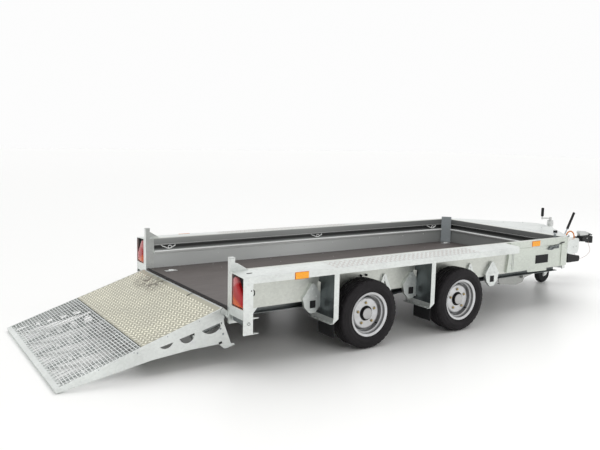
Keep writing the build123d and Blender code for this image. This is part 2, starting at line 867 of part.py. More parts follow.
def rim():
    half = RIM_WIDTH / 2
    seat = RIM_SEAT - FIT_GAP
    disc_back = DISC_FACE - DISC_SHEET
    well = RIM_SEAT - 17
    outline = [
        # (radius, y) from the outer lip across the tyre's seat and back through the dish
        (RIM_LIP, half),
        (RIM_LIP, half - 4),
        (seat, half - 13),
        (seat, 13 - half),
        (RIM_LIP, 4 - half),
        (RIM_LIP, -half),
        (seat - 6, 8 - half),
        (well, 36 - half),
        (well, -8),
        (DISC_BEND + 4, -6),
        (DISC_BEND - 12, disc_back),
        (CENTRE_BORE, disc_back),
        (CENTRE_BORE, DISC_FACE),
        (DISC_BEND - 10, DISC_FACE),
        (DISC_BEND, DISC_FACE - 7),
        (DISC_BEND + 7, 0),
        (well, 0),
        (well, half - 36),
        (seat - 6, half - 28),
        (seat - 6, half - 8),
    ]
    cap = [
        (0, -HUB_BACK),
        (HUB_RADIUS, -HUB_BACK),
        (HUB_RADIUS, disc_back),
        (HUB_CAP_RADIUS, disc_back),
        (HUB_CAP_RADIUS, DISC_FACE + HUB_CAP_OUT - 5),
        (HUB_CAP_RADIUS - 5, DISC_FACE + HUB_CAP_OUT),
        (0, DISC_FACE + HUB_CAP_OUT),
    ]
    shapes = [revolve(make_face(Polyline(*line, close=True)), axis=Axis.Y) for line in (outline, cap)]
    return fused(shapes) - rod_y(0, 0, -HUB_BACK - 1, STUB_END + FIT_GAP, STUB_RADIUS + FIT_GAP)


def at_wheel(shape, x, side):
    turned = shape if side > 0 else mirrored(shape)
    return Pos(x, side * wheel_y, TYRE_RADIUS) * turned


# Drawbar

LEG_REAR_LOW = rail_under - DRAW_DEEP
leg_slope = DRAW_RISE / DRAW_TIP_AHEAD
ROOT_PLATE = [
    # (distance ahead of the load floor, height) round the plate that joins leg and bed
    (-680, rail_under),
    (-680, 246),
    (-650, 215),
    (-420, 190),
    (-330, 205),
    (-300, LEG_REAR_LOW),
    (-300, rail_under),
]
ROOT_SHEET = 8
ROOT_LIP = 36
CHOCK_ARM = 60
CHOCK_ARM_TALL = 22
HEAD_SIDE = [
    # (distance ahead of the head's rear, height) round the folded head's side
    (0, 345),
    (80, 290),
    (HEAD_LONG - 30, 290),
    (HEAD_LONG, 330),
    (HEAD_LONG, 440),
    (HEAD_LONG - 20, 460),
    (20, 460),
    (0, 413),
]
HEAD_HALF = (152, 64)
HEAD_STRAP = (30, 66)
head_top = max(height for ahead, height in HEAD_SIDE)
head_low = min(height for ahead, height in HEAD_SIDE)
head_x = BED_LENGTH + HEAD_AHEAD
head_front = head_x + HEAD_LONG


def leg_middle(ahead):
    """Distance out of a leg's middle line, that far ahead of the load floor."""
    share = (ahead - DRAW_REAR_AHEAD) / (DRAW_TIP_AHEAD - DRAW_REAR_AHEAD)
    return draw_root_y + share * (DRAW_TIP_Y - draw_root_y)


def leg_low(ahead):
    """Height of a leg's lower face, that far ahead of the load floor."""
    return LEG_REAR_LOW + leg_slope * max(ahead, 0)


def head_shell(inset):
    """The folded head that carries the coupling, or with an inset its hollow."""
    side = []
    for ahead, height in HEAD_SIDE:
        ahead += inset if ahead * 2 < HEAD_LONG else -inset
        side.append((head_x + ahead, min(height, head_top - inset)))
    plan = [(head_x, HEAD_HALF[0] - inset), (head_front, HEAD_HALF[1] - inset)]
    plan += [(x, -half) for x, half in plan[::-1]]
    reach = HEAD_HALF[0] + 1
    return along_y(side, -reach, reach) & along_z(plan, head_low - 1, head_top + 1)


def drawbar():
    half = DRAW_WIDE / 2
    stations = [DRAW_REAR_AHEAD, 0, DRAW_TIP_AHEAD]
    low_line = [(BED_LENGTH + ahead, leg_low(ahead)) for ahead in stations]
    side_view = low_line + [(x, z + DRAW_DEEP) for x, z in low_line[::-1]]
    plan = []
    for ahead, turn in ((stations[0], half), (stations[-1], half), (stations[-1], -half), (stations[0], -half)):
        plan.append((BED_LENGTH + ahead, leg_middle(ahead) + turn))
    leg = along_y(side_view, 0, half_bed) & along_z(plan, 0, SIDE_TOP)
    root = [(BED_LENGTH + ahead, height) for ahead, height in ROOT_PLATE]
    root_lip = root[2:4] + [(x, z + SHEET) for x, z in root[3:1:-1]]
    leg = fused([
        leg,
        along_y(root, draw_root_y - ROOT_SHEET, draw_root_y),
        along_y(root_lip, draw_root_y - ROOT_LIP, draw_root_y),
    ])
    plate_x = jockey_x + JOCKEY_TUBE + PLATE_THICK
    plate_low = leg_low(DRAW_TIP_AHEAD)
    plate_y = leg_middle(JOCKEY_AHEAD)
    plate = block(plate_x, plate_x + PLATE_THICK, -plate_y, plate_y, plate_low, plate_low + PLATE_THICK * 4)
    arm_low = leg_low(JOCKEY_AHEAD + CHOCK_ARM)
    arm = block(
        jockey_x,
        jockey_x + CHOCK_ARM,
        CHOCK_INNER,
        -leg_middle(JOCKEY_AHEAD + CHOCK_ARM),
        arm_low,
        arm_low + CHOCK_ARM_TALL,
    )
    strap_front, strap_rear = [head_front - back for back in HEAD_STRAP]
    strap = block(strap_rear, strap_front, -half_bed, half_bed, head_low, head_low + HEAD_SHEET)
    head = head_shell(0) - head_shell(HEAD_SHEET)
    return fused([leg, mirrored(leg), plate, arm, head, strap & head_shell(0)])


NOSE_DECK = [
    # (distance ahead of the headboard, half width less the bed's) of the deck over the drawbar
    (0, 0),
    (94, -35),
    (424, -420),
    (644, -720),
]
SKIRT = [
    # (distance ahead of the headboard, drop below the deck) along the skirt's lower edge
    (-1, 321),
    (94, 329),
    (424, 414),
    (424, 240),
    (645, 240),
]
DECK_SHEET = 8


def nose_deck():
    outer = [(head_outer + ahead, half_bed + less) for ahead, less in NOSE_DECK]
    inner = [(x - DECK_SHEET if index else x, y - DECK_SHEET) for index, (x, y) in enumerate(outer)]

    def solid(edge, low, high):
        return along_z(edge + [(x, -y) for x, y in edge[::-1]], low, high)

    deepest = SIDE_TOP - max(drop for ahead, drop in SKIRT)
    shell = solid(outer, deepest, SIDE_TOP) - solid(inner, deepest - 1, SIDE_TOP - SHEET)
    edge = [(head_outer + ahead, SIDE_TOP - drop) for ahead, drop in SKIRT]
    below = [(edge[0][0], deepest - 1), *edge, (edge[-1][0], deepest - 1)]
    return shell - along_y(below, -half_bed - 1, half_bed + 1)


SHAFT_Z = 434
SHAFT_RADIUS = 22
SHAFT_BACK = 190
BODY_BACK = 236
BODY_LOW = 394
BODY_TOP = 474
BODY_PLAN = [
    # (distance back from the nose, half width) of the coupling's body
    (BODY_BACK, 33),
    (80, 29),
    (BALL_BACK, 39),
]
BODY_SIDE = [
    # (distance back from the nose, height) round the coupling's body
    (BODY_BACK, BODY_LOW + 14),
    (80, BODY_LOW),
    (BALL_BACK, BODY_LOW),
    (BALL_BACK, BODY_TOP - 12),
    (100, BODY_TOP),
    (BODY_BACK, BODY_TOP),
]
HEAD_RISE = 48


def coupling():
    plan = [(nose_x - back, half) for back, half in BODY_PLAN]
    plan += [(x, -half) for x, half in plan[::-1]]
    side = [(nose_x - back, height) for back, height in BODY_SIDE]
    reach = max(half for back, half in BODY_PLAN) + 1
    body = along_y(side, -reach, reach) & along_z(plan, BODY_LOW - 1, BODY_TOP + 1)
    shaft = rod_x(0, SHAFT_Z, head_front + FIT_GAP, nose_x - SHAFT_BACK, SHAFT_RADIUS)
    head = rod_z(ball_x, 0, BALL_Z - BALL_RADIUS, BALL_Z + HEAD_RISE, BALL_BACK)
    socket = rod_z(ball_x, 0, BALL_Z - BALL_RADIUS - 1, BALL_Z, BALL_RADIUS + 0.5)
    return fused([shaft, body, head]) - socket


HANDLE = [
    # (distance back from the nose, height above the coupling's body) round the handle
    (252, 0),
    (272, 44),
    (256, 60),
    (150, 50),
    (48, 20),
    (10, -8),
    (14, -16),
    (40, -10),
    (96, 0),
]
HANDLE_HALF = 19


def coupling_handle():
    base = BODY_TOP + FIT_GAP
    return along_y([(nose_x - back, base + up) for back, up in HANDLE], -HANDLE_HALF, HANDLE_HALF)


LEVER_Y = -58
LEVER_RADIUS = 7
GRIP_RADIUS = 14
LEVER_LINE = [
    # (distance ahead of the head's rear, height above it) of the lever's foot, joint and tip
    (35, 14),
    (105, 123),
    (212, 305),
]
LEVER_SEAT = 22


def handbrake():
    base = head_top + FIT_GAP
    foot, joint, tip = [(head_x + ahead, LEVER_Y, base + up) for ahead, up in LEVER_LINE]
    seat = block(
        foot[0] - LEVER_SEAT,
        foot[0] + LEVER_SEAT,
        LEVER_Y - LEVER_RADIUS - 2,
        LEVER_Y + LEVER_RADIUS + 2,
        base,
        base + LEVER_SEAT,
    )
    return seat.fuse(rod_between(foot, joint, LEVER_RADIUS)), rod_between(joint, tip, GRIP_RADIUS)


BOW_AHEAD = 220
BOW_RADIUS = 82
BOW_WIRE = 7
BOW_Y = -20


def cable_bow():
    """The stiff bow that stands on the head, as half a ring on its feet."""
    foot = head_top + FIT_GAP
    start = Pos(head_x + BOW_AHEAD + BOW_RADIUS, BOW_Y, foot) * Circle(BOW_WIRE)
    middle = Axis((head_x + BOW_AHEAD, BOW_Y, foot), (0, -1, 0))
    return revolve(start, axis=middle, revolution_arc=180)


CABLE_RADIUS = 2
CABLE_TURN = 0.45
CABLE_ROUTE = [
    # (distance back from the nose, y, z) of the thin cable that hangs below the coupling
    (78, -20, BODY_LOW),
    (78, -20, BODY_LOW - 36),
    (56, -30, 322),
    (62, -38, 284),
    (96, -44, 256),
    (142, -47, 235),
    (193, -49, 219),
    (246, -50, 209),
    (299, -51, 211),
    (345, -52, 226),
    (378, -52, 254),
    (378, -52, head_low),
]


def breakaway_cable():
    points = [Vector(nose_x - back, y, z) for back, y, z in CABLE_ROUTE]
    radii = []
    for before, corner, after in zip(points, points[1:], points[2:]):
        come, leave = corner - before, after - corner
        turn = radians(come.get_angle(leave))
        radii.append(CABLE_TURN * min(come.length, leave.length) / tan(turn / 2))
    line = FilletPolyline(*points, radius=radii)
    start = Plane(points[0], z_dir=points[1] - points[0]) * Circle(CABLE_RADIUS)
    return sweep(start, path=line)


# Jockey wheel

CROWN_THICK = 12
CROWN_GAP = 14
CROWN_BACK = 60
CROWN_AHEAD = 34
FORK_SHEET = 5
FORK_PIN = 8
COLLAR_HALF = 24
CRANK_RISE = 46
CRANK_ARM = (-80, 50)
CRANK_RADIUS = 7
CRANK_GRIP = 95
fork_top = 2 * JOCKEY_RADIUS + CROWN_GAP
jockey_leg_low = fork_top + CROWN_THICK + FIT_GAP
tube_low = jockey_leg_low + JOCKEY_LIFT + 2 * CLEAR
jockey_axle_x = jockey_x - JOCKEY_TRAIL


def jockey_clamp():
    tube = rod_z(jockey_x, JOCKEY_Y, tube_low, JOCKEY_TOP, JOCKEY_TUBE)
    low = max(leg_low(DRAW_TIP_AHEAD), tube_low)
    high = leg_low(DRAW_TIP_AHEAD) + PLATE_THICK * 4
    reach = jockey_x + JOCKEY_TUBE + PLATE_THICK
    collar = block(jockey_x, reach, JOCKEY_Y - COLLAR_HALF, JOCKEY_Y + COLLAR_HALF, low, high)
    bore = rod_z(jockey_x, JOCKEY_Y, tube_low - 1, JOCKEY_TOP - 10, JOCKEY_LEG + FIT_GAP)
    return tube.fuse(collar) - bore


def jockey_crank():
    top = JOCKEY_TOP + CRANK_RISE
    end = (jockey_x + CRANK_ARM[0], JOCKEY_Y + CRANK_ARM[1])
    grip_low = top + CRANK_RADIUS
    level = top - 2 * CRANK_RADIUS
    stem = rod_z(jockey_x, JOCKEY_Y, JOCKEY_TOP, top, 2 * CRANK_RADIUS)
    arm = rod_between((jockey_x, JOCKEY_Y, level), (*end, level), CRANK_RADIUS)
    spindle = rod_z(*end, level - 2 * CRANK_RADIUS, grip_low, CRANK_RADIUS + 1)
    return fused([stem, arm, spindle]), rod_z(*end, grip_low, grip_low + CRANK_GRIP, 2 * CRANK_RADIUS)


def jockey_leg():
    return rod_z(jockey_x, JOCKEY_Y, jockey_leg_low, JOCKEY_TOP - JOCKEY_LIFT - 20, JOCKEY_LEG)


def jockey_fork():
    inner = JOCKEY_WIDTH / 2 + CLEAR + 1
    outer = inner + FORK_SHEET
    rear, front = jockey_x - CROWN_BACK, jockey_x + CROWN_AHEAD
    crown = block(rear, front, JOCKEY_Y - outer, JOCKEY_Y + outer, fork_top, fork_top + CROWN_THICK)
    outline = [
        (rear, fork_top),
        (front, fork_top),
        (jockey_axle_x + 18, JOCKEY_RADIUS - 18),
        (jockey_axle_x - 18, JOCKEY_RADIUS - 18),
        (jockey_axle_x - 22, JOCKEY_RADIUS + 14),
    ]
    cheeks = [
        along_y(outline, JOCKEY_Y + inner, JOCKEY_Y + outer),
        along_y(outline, JOCKEY_Y - outer, JOCKEY_Y - inner),
    ]
    reach = outer + 3
    pin = rod_y(jockey_axle_x, JOCKEY_RADIUS, JOCKEY_Y - reach, JOCKEY_Y + reach, FORK_PIN)
    return fused([crown, *cheeks, pin])


def jockey_wheel():
    half = JOCKEY_WIDTH / 2
    outline = [
        # (radius, y): a dished disc inside a solid rubber tyre
        (FORK_PIN + FIT_GAP, -half),
        (FORK_PIN + FIT_GAP, half),
        (30, half),
        (34, half - 14),
        (62, half - 14),
        (70, half),
        (JOCKEY_RADIUS - 10, half),
        (JOCKEY_RADIUS, half - 12),
        (JOCKEY_RADIUS, 12 - half),
        (JOCKEY_RADIUS - 10, -half),
    ]
    wheel = revolve(make_face(Polyline(*outline, close=True)), axis=Axis.Y)
    return Pos(jockey_axle_x, JOCKEY_Y, JOCKEY_RADIUS) * wheel


CHOCK = [
    # (distance ahead of the jockey wheel's tube, height) round the wedge
    (-10, 262),
    (195, 256),
    (210, 268),
    (200, 296),
    (10, 360),
    (-8, 352),
]


def wheel_chock():
    outline = [(jockey_x + ahead, height) for ahead, height in CHOCK]
    return along_y(outline, CHOCK_INNER - CHOCK_WIDE, CHOCK_INNER)


# Write every piece

save("bed_floor", bed_floor())
save("side_wall_left", side_wall())
save("side_wall_right", mirrored(side_wall()))
save("headboard", headboard())
save("corner_posts", *both(corner_post()))
save("front_panel_left", front_panel())
save("front_panel_right", mirrored(front_panel()))
save("side_reflectors", *[piece for plate in side_reflectors() for piece in both(plate)])
save("chassis_rails", *both(chassis_rail()))
save("crossmembers", *crossmembers())
save("rear_hinge_beam", rear_hinge_beam())
save("rear_post_left", rear_post())
save("rear_post_right", mirrored(rear_post()))
save("lamp_housings", *both(lamp_housing()))
save("lamp_lenses", *both(lamp_lens()))
save("mudguard_shelf_left", mudguard_shelf())
save("mudguard_shelf_right", mirrored(mudguard_shelf()))

strut_x = [AXLE_X[place] - STRUT_BEHIND[place] for place in AXLE_X]
for side, turn in (("left", lambda shape: shape), ("right", mirrored)):
    save(f"mudguard_struts_{side}", *[turn(strut(x)) for x in strut_x])
save("mud_flaps", *[piece for x in strut_x for piece in both(mud_flap(x))])

hanger_x = sorted({x + end for x in AXLE_X.values() for end in (-SPRING_BEHIND, SPRING_AHEAD)})
hangers = [hanger(x) for x in hanger_x] + [bush(x) for x in hanger_x]
hangers += [brace(x) for x in AXLE_X.values()]
save("spring_hangers", *[piece for solid in hangers for piece in both(solid)])
save("leaf_springs", *[piece for x in AXLE_X.values() for piece in both(leaf_spring(x))])
for place, x in AXLE_X.items():
    save(f"axle_{place}", axle(x))
    for side, sign in (("left", 1), ("right", -1)):
        save(f"tyre_{place}_{side}", at_wheel(tyre(), x, sign))
        save(f"rim_{place}_{side}", at_wheel(rim(), x, sign))

save("ramp_frame", ramp_frame())
save("ramp_tread_plate", ramp_tread())
save("ramp_mesh", *ramp_mesh())
save("drawbar", drawbar())
save("nose_deck", nose_deck())
save("coupling", coupling())
save("coupling_handle", coupling_handle())
lever, lever_grip = handbrake()
save("handbrake_lever", lever)
save("handbrake_grip", lever_grip)
save("cable_bow", cable_bow())
save("breakaway_cable", breakaway_cable())
save("jockey_clamp", jockey_clamp())
crank, crank_grip = jockey_crank()
save("jockey_crank", crank)
save("jockey_grip", crank_grip)
save("jockey_leg", jockey_leg())
save("jockey_fork", jockey_fork())
save("jockey_wheel", jockey_wheel())
save("wheel_chock", wheel_chock())
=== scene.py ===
import json
import math

import bmesh
import bpy
from mathutils import Matrix, Vector


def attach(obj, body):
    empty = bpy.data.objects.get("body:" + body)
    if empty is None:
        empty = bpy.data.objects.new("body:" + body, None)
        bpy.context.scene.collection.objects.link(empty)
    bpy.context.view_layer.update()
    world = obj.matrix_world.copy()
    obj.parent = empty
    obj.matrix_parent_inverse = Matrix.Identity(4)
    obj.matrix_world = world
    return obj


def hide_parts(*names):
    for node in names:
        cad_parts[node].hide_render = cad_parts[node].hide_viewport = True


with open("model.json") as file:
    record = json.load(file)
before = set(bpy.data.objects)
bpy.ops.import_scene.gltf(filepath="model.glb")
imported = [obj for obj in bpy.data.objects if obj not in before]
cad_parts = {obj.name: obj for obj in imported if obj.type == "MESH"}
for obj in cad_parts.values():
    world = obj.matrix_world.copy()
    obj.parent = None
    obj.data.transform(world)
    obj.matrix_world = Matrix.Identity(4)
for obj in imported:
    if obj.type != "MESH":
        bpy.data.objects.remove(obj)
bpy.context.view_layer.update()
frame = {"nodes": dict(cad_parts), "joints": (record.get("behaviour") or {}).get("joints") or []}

JOINTS = {joint["name"]: joint for joint in frame["joints"]}
MM = 0.001

# The CAD part's sizes and places, in millimetres from the load floor's rear edge
HINGE_X = -28
HINGE_Z = 372
RAMP_LENGTH = 1180
RAMP_TREAD = 600
RAMP_TOE = 28
RAMP_TOP = 24
RAMP_HALF = 760
BED_LENGTH = 3660
HALF_BED = 780
FLOOR_TOP = 396
SIDE_TOP = 659
WALL_OUTER = 806
SHELF_OUTER = 1006
PANEL_OUTER = 830
WHEEL_Y = 927
WHEEL_Z = 263.5
AXLES = {"rear": 1080, "front": 2050}
STRUT_X = (765, 1722)
STRUT_LOW = 235
HANGERS = (675, 1645, 2615)
BUSH_Z = 356.8
JOCKEY_X = 4440
JOCKEY_Y = -60
JOCKEY_AXLE_Z = 100
HEAD_FRONT = 5000
NOSE_X = 5330
SIDES = {"left": 1, "right": -1}
slope = math.asin(HINGE_Z / math.hypot(RAMP_LENGTH, RAMP_TOE - RAMP_TOP))
slope -= math.atan2(RAMP_TOE - RAMP_TOP, RAMP_LENGTH)
bed_rear = JOINTS["ramp_hinge"]["pos_m"][0] - HINGE_X * MM

BED = Matrix.Translation((bed_rear, 0, 0)) @ Matrix.Diagonal((MM, MM, MM, 1))
RAMP = BED @ Matrix.Translation((HINGE_X, 0, HINGE_Z)) @ Matrix.Rotation(-slope, 4, "Y")


def wheel_place(x, side):
    """Puts a wheel's piece, drawn with its axle along Y and its outer face at +Y, on an axle."""
    return BED @ Matrix.Translation((x, side * WHEEL_Y, WHEEL_Z)) @ Matrix.Diagonal((1, side, 1, 1))


# Material nodes, in metres in the frame at rest

MATERIALS = {}
WHITE = (1, 1, 1)
BLACK = (0, 0, 0)


def set_socket(socket, value):
    """Sets an input to a value or a colour, or links it to another node's output."""
    if isinstance(value, bpy.types.NodeSocket):
        socket.id_data.links.new(value, socket)
    else:
        socket.default_value = (*value, 1) if socket.type == "RGBA" else value


def feed(node, **inputs):
    """Sets a node's inputs by their names, with _ for a space."""
    for name, value in inputs.items():
        set_socket(node.inputs[name.replace("_", " ")], value)


def add_node(tree, kind, output, **inputs):
    """Adds a node and gives back one of its outputs."""
    node = tree.nodes.new("ShaderNode" + kind)
    feed(node, **inputs)
    return node.outputs[output]


def new_material(name, colour, roughness, metallic=0.0, coat=0.0, specular=0.5):
    material = bpy.data.materials.new(name)
    material.use_nodes = True
    MATERIALS[name] = material
    tree = material.node_tree
    shader = tree.nodes["Principled BSDF"]
    feed(shader, Base_Color=colour, Roughness=roughness, Metallic=metallic)
    feed(shader, Coat_Weight=coat, Specular_IOR_Level=specular)
    return tree, shader


def coordinates(tree, scale=(1, 1, 1)):
    place = add_node(tree, "TexCoord", "Object")
    return add_node(tree, "Mapping", "Vector", Vector=place, Scale=scale)


def noise(tree, scale, detail=4, vector=None):
    vector = vector or coordinates(tree)
    return add_node(tree, "TexNoise", "Fac", Vector=vector, Scale=scale, Detail=detail)


def cells(tree, scale, vector=None):
    vector = vector or coordinates(tree)
    colour = add_node(tree, "TexVoronoi", "Color", Vector=vector, Scale=scale)
    return add_node(tree, "SeparateColor", "Red", Color=colour)


def spread(tree, value, low, high):
    """Maps 0 to 1 on low to high."""
    return add_node(tree, "MapRange", "Result", Value=value, To_Min=low, To_Max=high)


def stops(tree, value, colours):
    """A colour ramp from rows of (position, colour)."""
    node = tree.nodes.new("ShaderNodeValToRGB")
    elements = node.color_ramp.elements
    while len(elements) < len(colours):
        elements.new(0.5)
    for element, (position, colour) in zip(elements, colours):
        element.position = position
        element.color = (*colour, 1)
    feed(node, Fac=value)
    return node.outputs["Color"]


def blend_colours(tree, factor, first, second, mode="MIX"):
    node = tree.nodes.new("ShaderNodeMix")
    node.data_type = "RGBA"
    node.blend_type = mode
    for value, name in ((factor, "Factor"), (first, "A"), (second, "B")):
        socket = [s for s in node.inputs if s.name == name and s.enabled][0]
        set_socket(socket, value)
    return [s for s in node.outputs if s.enabled][0]


def tint(shader, factor, colour, mode="MIX"):
    """Blends a colour over what already feeds the shader's base colour."""
    before = shader.inputs["Base Color"].links[0].from_socket
    feed(shader, Base_Color=blend_colours(shader.id_data, factor, before, colour, mode))


def maths(tree, operation, first, second=0.0):
    node = tree.nodes.new("ShaderNodeMath")
    node.operation = operation
    for socket, value in zip(node.inputs, (first, second)):
        set_socket(socket, value)
    return node.outputs["Value"]


def product(tree, *values):
    result = values[0]
    for value in values[1:]:
        result = maths(tree, "MULTIPLY", result, value)
    return result


def axis_value(tree, axis, kind="Position"):
    """The place or the normal's part along one axis, in the object's own frame."""
    if kind == "Position":
        vector = coordinates(tree)
    else:
        vector = add_node(tree, "TexCoord", "Normal")
    return add_node(tree, "SeparateXYZ", axis, Vector=vector)


def share_along(tree, axis, start, length):
    """How far along an axis a point lies, as a share of a length."""
    return maths(tree, "DIVIDE", maths(tree, "SUBTRACT", axis_value(tree, axis), start), length)


def square_reach(tree, rows):
    """The squared distance from a centre, from two rows of (axis, centre, unit)."""
    shares = [share_along(tree, *row) for row in rows]
    return maths(tree, "ADD", *[product(tree, share, share) for share in shares])


def bump(shader, height, strength, distance):
    sockets = {"Height": height, "Strength": strength, "Distance": distance}
    feed(shader, Normal=add_node(shader.id_data, "Bump", "Normal", **sockets))


def shade(colour, factor):
    return tuple(channel * factor for channel in colour)


def two_tones(tree, value, colour, low, high):
    """The colour at two strengths, from (position, strength) pairs."""
    rows = [(position, shade(colour, strength)) for position, strength in (low, high)]
    return stops(tree, value, rows)


# Materials


def clouded(name, colour, roughness, cloud, tones, rough, grain, **look):
    """A surface with soft clouds of tone and roughness, and a fine grain.

    cloud is the noise's (scale, detail), tones two (position, strength) pairs, rough the
    change of roughness each way, and grain the bump's (scale, detail, strength, distance).
    """
    tree, shader = new_material(name, colour, roughness, **look)
    patches = noise(tree, *cloud)
    smoother, rougher = (roughness + change for change in rough)
    feed(shader, Base_Color=two_tones(tree, patches, colour, *tones))
    feed(shader, Roughness=spread(tree, patches, smoother, rougher))
    scale, detail, strength, distance = grain
    bump(shader, noise(tree, scale, detail), strength, distance)
    return tree, shader


def zinc(name, colour, roughness, metallic=0.82, spangle=0.09):
    """Hot-dip zinc: faint crystal spangle, cloudy patches and a fine grain."""
    tree, shader = new_material(name, colour, roughness, metallic)
    crystal = cells(tree, 55, coordinates(tree, (1, 1, 1.3)))
    cloud = noise(tree, 3.2, 5)
    light = two_tones(tree, cloud, colour, (0.3, 0.90), (0.7, 1.05))
    tone = two_tones(tree, crystal, WHITE, (0, 1 - spangle), (1, 1))
    feed(shader, Base_Color=blend_colours(tree, 1.0, light, tone, "MULTIPLY"))
    mixed = maths(tree, "ADD", product(tree, crystal, 0.12), cloud)
    feed(shader, Roughness=spread(tree, mixed, roughness - 0.08, roughness + 0.1))
    bump(shader, noise(tree, 260, 3), strength=0.10, distance=0.0004)
    return tree, shader


WALL_BANDS = [
    # (height in mm, brightness) of the bands on the inside of the walls: painted highlights on the
    # lips and painted shade in the slot below the rail
    (380, 0.60), (400, 0.90), (520, 1.0), (526, 1.2), (546, 1.2), (549, 0.50), (562, 0.16),
    (574, 0.05), (588, 0.06), (594, 0.30), (600, 0.95), (606, 0.46), (652, 0.54), (657, 1.0),
]
WALL_SPAN = (380, 662)
WALL_INSIDE = (0.80, 0.83, 0.82)
WALL_DEPTH = 17.5
WALL_PAINTED_LIGHT_ALONG = [
    # (share of the bed's length from the rear, brightness): painted light and shade along the bed,
    # lightest near the middle and darkest at the front
    (0.02, 1.05), (0.45, 1.2), (0.8, 0.80), (1, 0.55),
]


def make_zinc_wall(name, axis, inner_edge):
    """Zinc that is duller inside the bed, with painted shade in the slot below the rail, painted
    highlights on its lips, and painted light and shade along the bed.
    """
    tree, shader = zinc(name, (0.68, 0.70, 0.65), 0.40)
    reach = axis_value(tree, axis)
    if axis == "Y":
        reach = maths(tree, "ABSOLUTE", reach)
    inside = maths(tree, "LESS_THAN", reach, inner_edge)
    below = maths(tree, "LESS_THAN", axis_value(tree, "Z"), (SIDE_TOP - 1.5) * MM)
    upright = maths(tree, "LESS_THAN", axis_value(tree, "Z", "Normal"), 0.5)
    dull = product(tree, inside, below, upright)
    # The bands paint highlights on the lips and shade in the slot below the rail.
    low, high = WALL_SPAN
    rows = [((z - low) / (high - low), shade(WALL_INSIDE, light)) for z, light in WALL_BANDS]
    bands = stops(tree, share_along(tree, "Z", low * MM, (high - low) * MM), rows)
    cloud = noise(tree, 2.4, 4, coordinates(tree, (0.35, 1, 1)))
    tone = two_tones(tree, cloud, WHITE, (0.25, 0.78), (0.75, 1.0))
    inner = blend_colours(tree, 1.0, bands, tone, "MULTIPLY")
    # Painted light and shade along the bed, darker towards the front.
    along = share_along(tree, "X", bed_rear, BED_LENGTH * MM)
    wear_and_painted_light = stops(tree, along, [(share, shade(WHITE, light)) for share, light in WALL_PAINTED_LIGHT_ALONG])
    tint(shader, dull, blend_colours(tree, 1.0, inner, wear_and_painted_light, "MULTIPLY"))
    feed(shader, Metallic=spread(tree, dull, 0.82, 0.22))


OUTER_ZINC = (0.80, 0.83, 0.81)
RIB_REACH = 0.742
TOE_BAND = 60
UNDER_DECK = (3700, 4700)


def make_ramp_zinc():
    """The ramp's ribs, below its mesh, are painted darker than its sides and toe: painted shade
    under the mesh.
    """
    tree, shader = zinc("zinc_ramp", OUTER_ZINC, 0.4)
    toe = (RAMP @ Vector((TOE_BAND - RAMP_LENGTH, 0, 0))).x
    reach = maths(tree, "ABSOLUTE", axis_value(tree, "Y"))
    within = maths(tree, "LESS_THAN", reach, RIB_REACH)
    ahead = maths(tree, "GREATER_THAN", axis_value(tree, "X"), toe)
    tint(shader, product(tree, within, ahead), (0.62, 0.63, 0.64), "MULTIPLY")


def make_drawbar_zinc():
    """Painted shade where the legs run back under the deck, darker towards the rear."""
    tree, shader = zinc("zinc_drawbar", OUTER_ZINC, 0.4)
    rear, front = ((BED @ Vector((x, 0, 0))).x for x in UNDER_DECK)
    along = share_along(tree, "X", rear, front - rear)
    rows = [(0.0, (0.55, 0.54, 0.53)), (0.6, (0.75, 0.75, 0.74)), (0.9, WHITE)]
    tint(shader, 1.0, stops(tree, along, rows), "MULTIPLY")


def make_strut_zinc():
    """Bright on the folded outer flange; on the plate behind the wheel, painted shade and a painted
    reflection darken the mirror-like zinc.
    """
    tree, shader = zinc("zinc_strut", (0.76, 0.79, 0.77), 0.3)
    facing = maths(tree, "ABSOLUTE", axis_value(tree, "X", "Normal"))
    plate = maths(tree, "GREATER_THAN", facing, 0.8)
    above = maths(tree, "GREATER_THAN", axis_value(tree, "Z"), (STRUT_LOW + 40) * MM)
    cloud = noise(tree, 5, 5, coordinates(tree, (1, 1, 0.5)))
    dark = stops(tree, cloud, [(0.3, (0.035, 0.045, 0.048)), (0.7, (0.16, 0.18, 0.185))])
    # Painted shade and painted reflection on the plate behind the wheel.
    tint(shader, product(tree, plate, above), dark)


def make_ply():
    """Film-faced plywood: dark, with the film's fine waffle, long grain and grey scuffs."""
    colour = (0.075, 0.064, 0.06)
    tree, shader = new_material("film_faced_ply", colour, 0.5)
    grain = noise(tree, 7, 8, coordinates(tree, (0.6, 9, 1)))
    scuff = noise(tree, 2.1, 6, coordinates(tree, (0.8, 2.2, 1)))
    base = two_tones(tree, grain, colour, (0.3, 0.82), (0.7, 1.22))
    wear_and_painted_light = stops(tree, scuff, [(0.5, BLACK), (0.8, (0.5, 0.5, 0.5))])
    feed(shader, Base_Color=blend_colours(tree, wear_and_painted_light, base, (0.13, 0.12, 0.115)))
    feed(shader, Roughness=spread(tree, scuff, 0.42, 0.62))
    bump(shader, cells(tree, 420), strength=0.12, distance=0.0004)


# Along and across, in metres, with the place taken from the load floor's rear edge
GRIME_PLACE = (-0.125, 0.36)
GRIME_REACH = (0.12, 0.30)
GRIME = (0.09, 0.075, 0.055)


def grime_patch(tree):
    """Share of grime on the ramp's plate, which is blotchy near the hinge on the left."""
    (x, y), (along, across) = GRIME_PLACE, GRIME_REACH
    square = square_reach(tree, [("X", x + bed_rear, along), ("Y", y, across)])
    near = spread(tree, square, 1.0, 0.0)
    blotch = stops(tree, noise(tree, 26, 5), [(0.38, BLACK), (0.62, WHITE)])
    return product(tree, near, blotch)


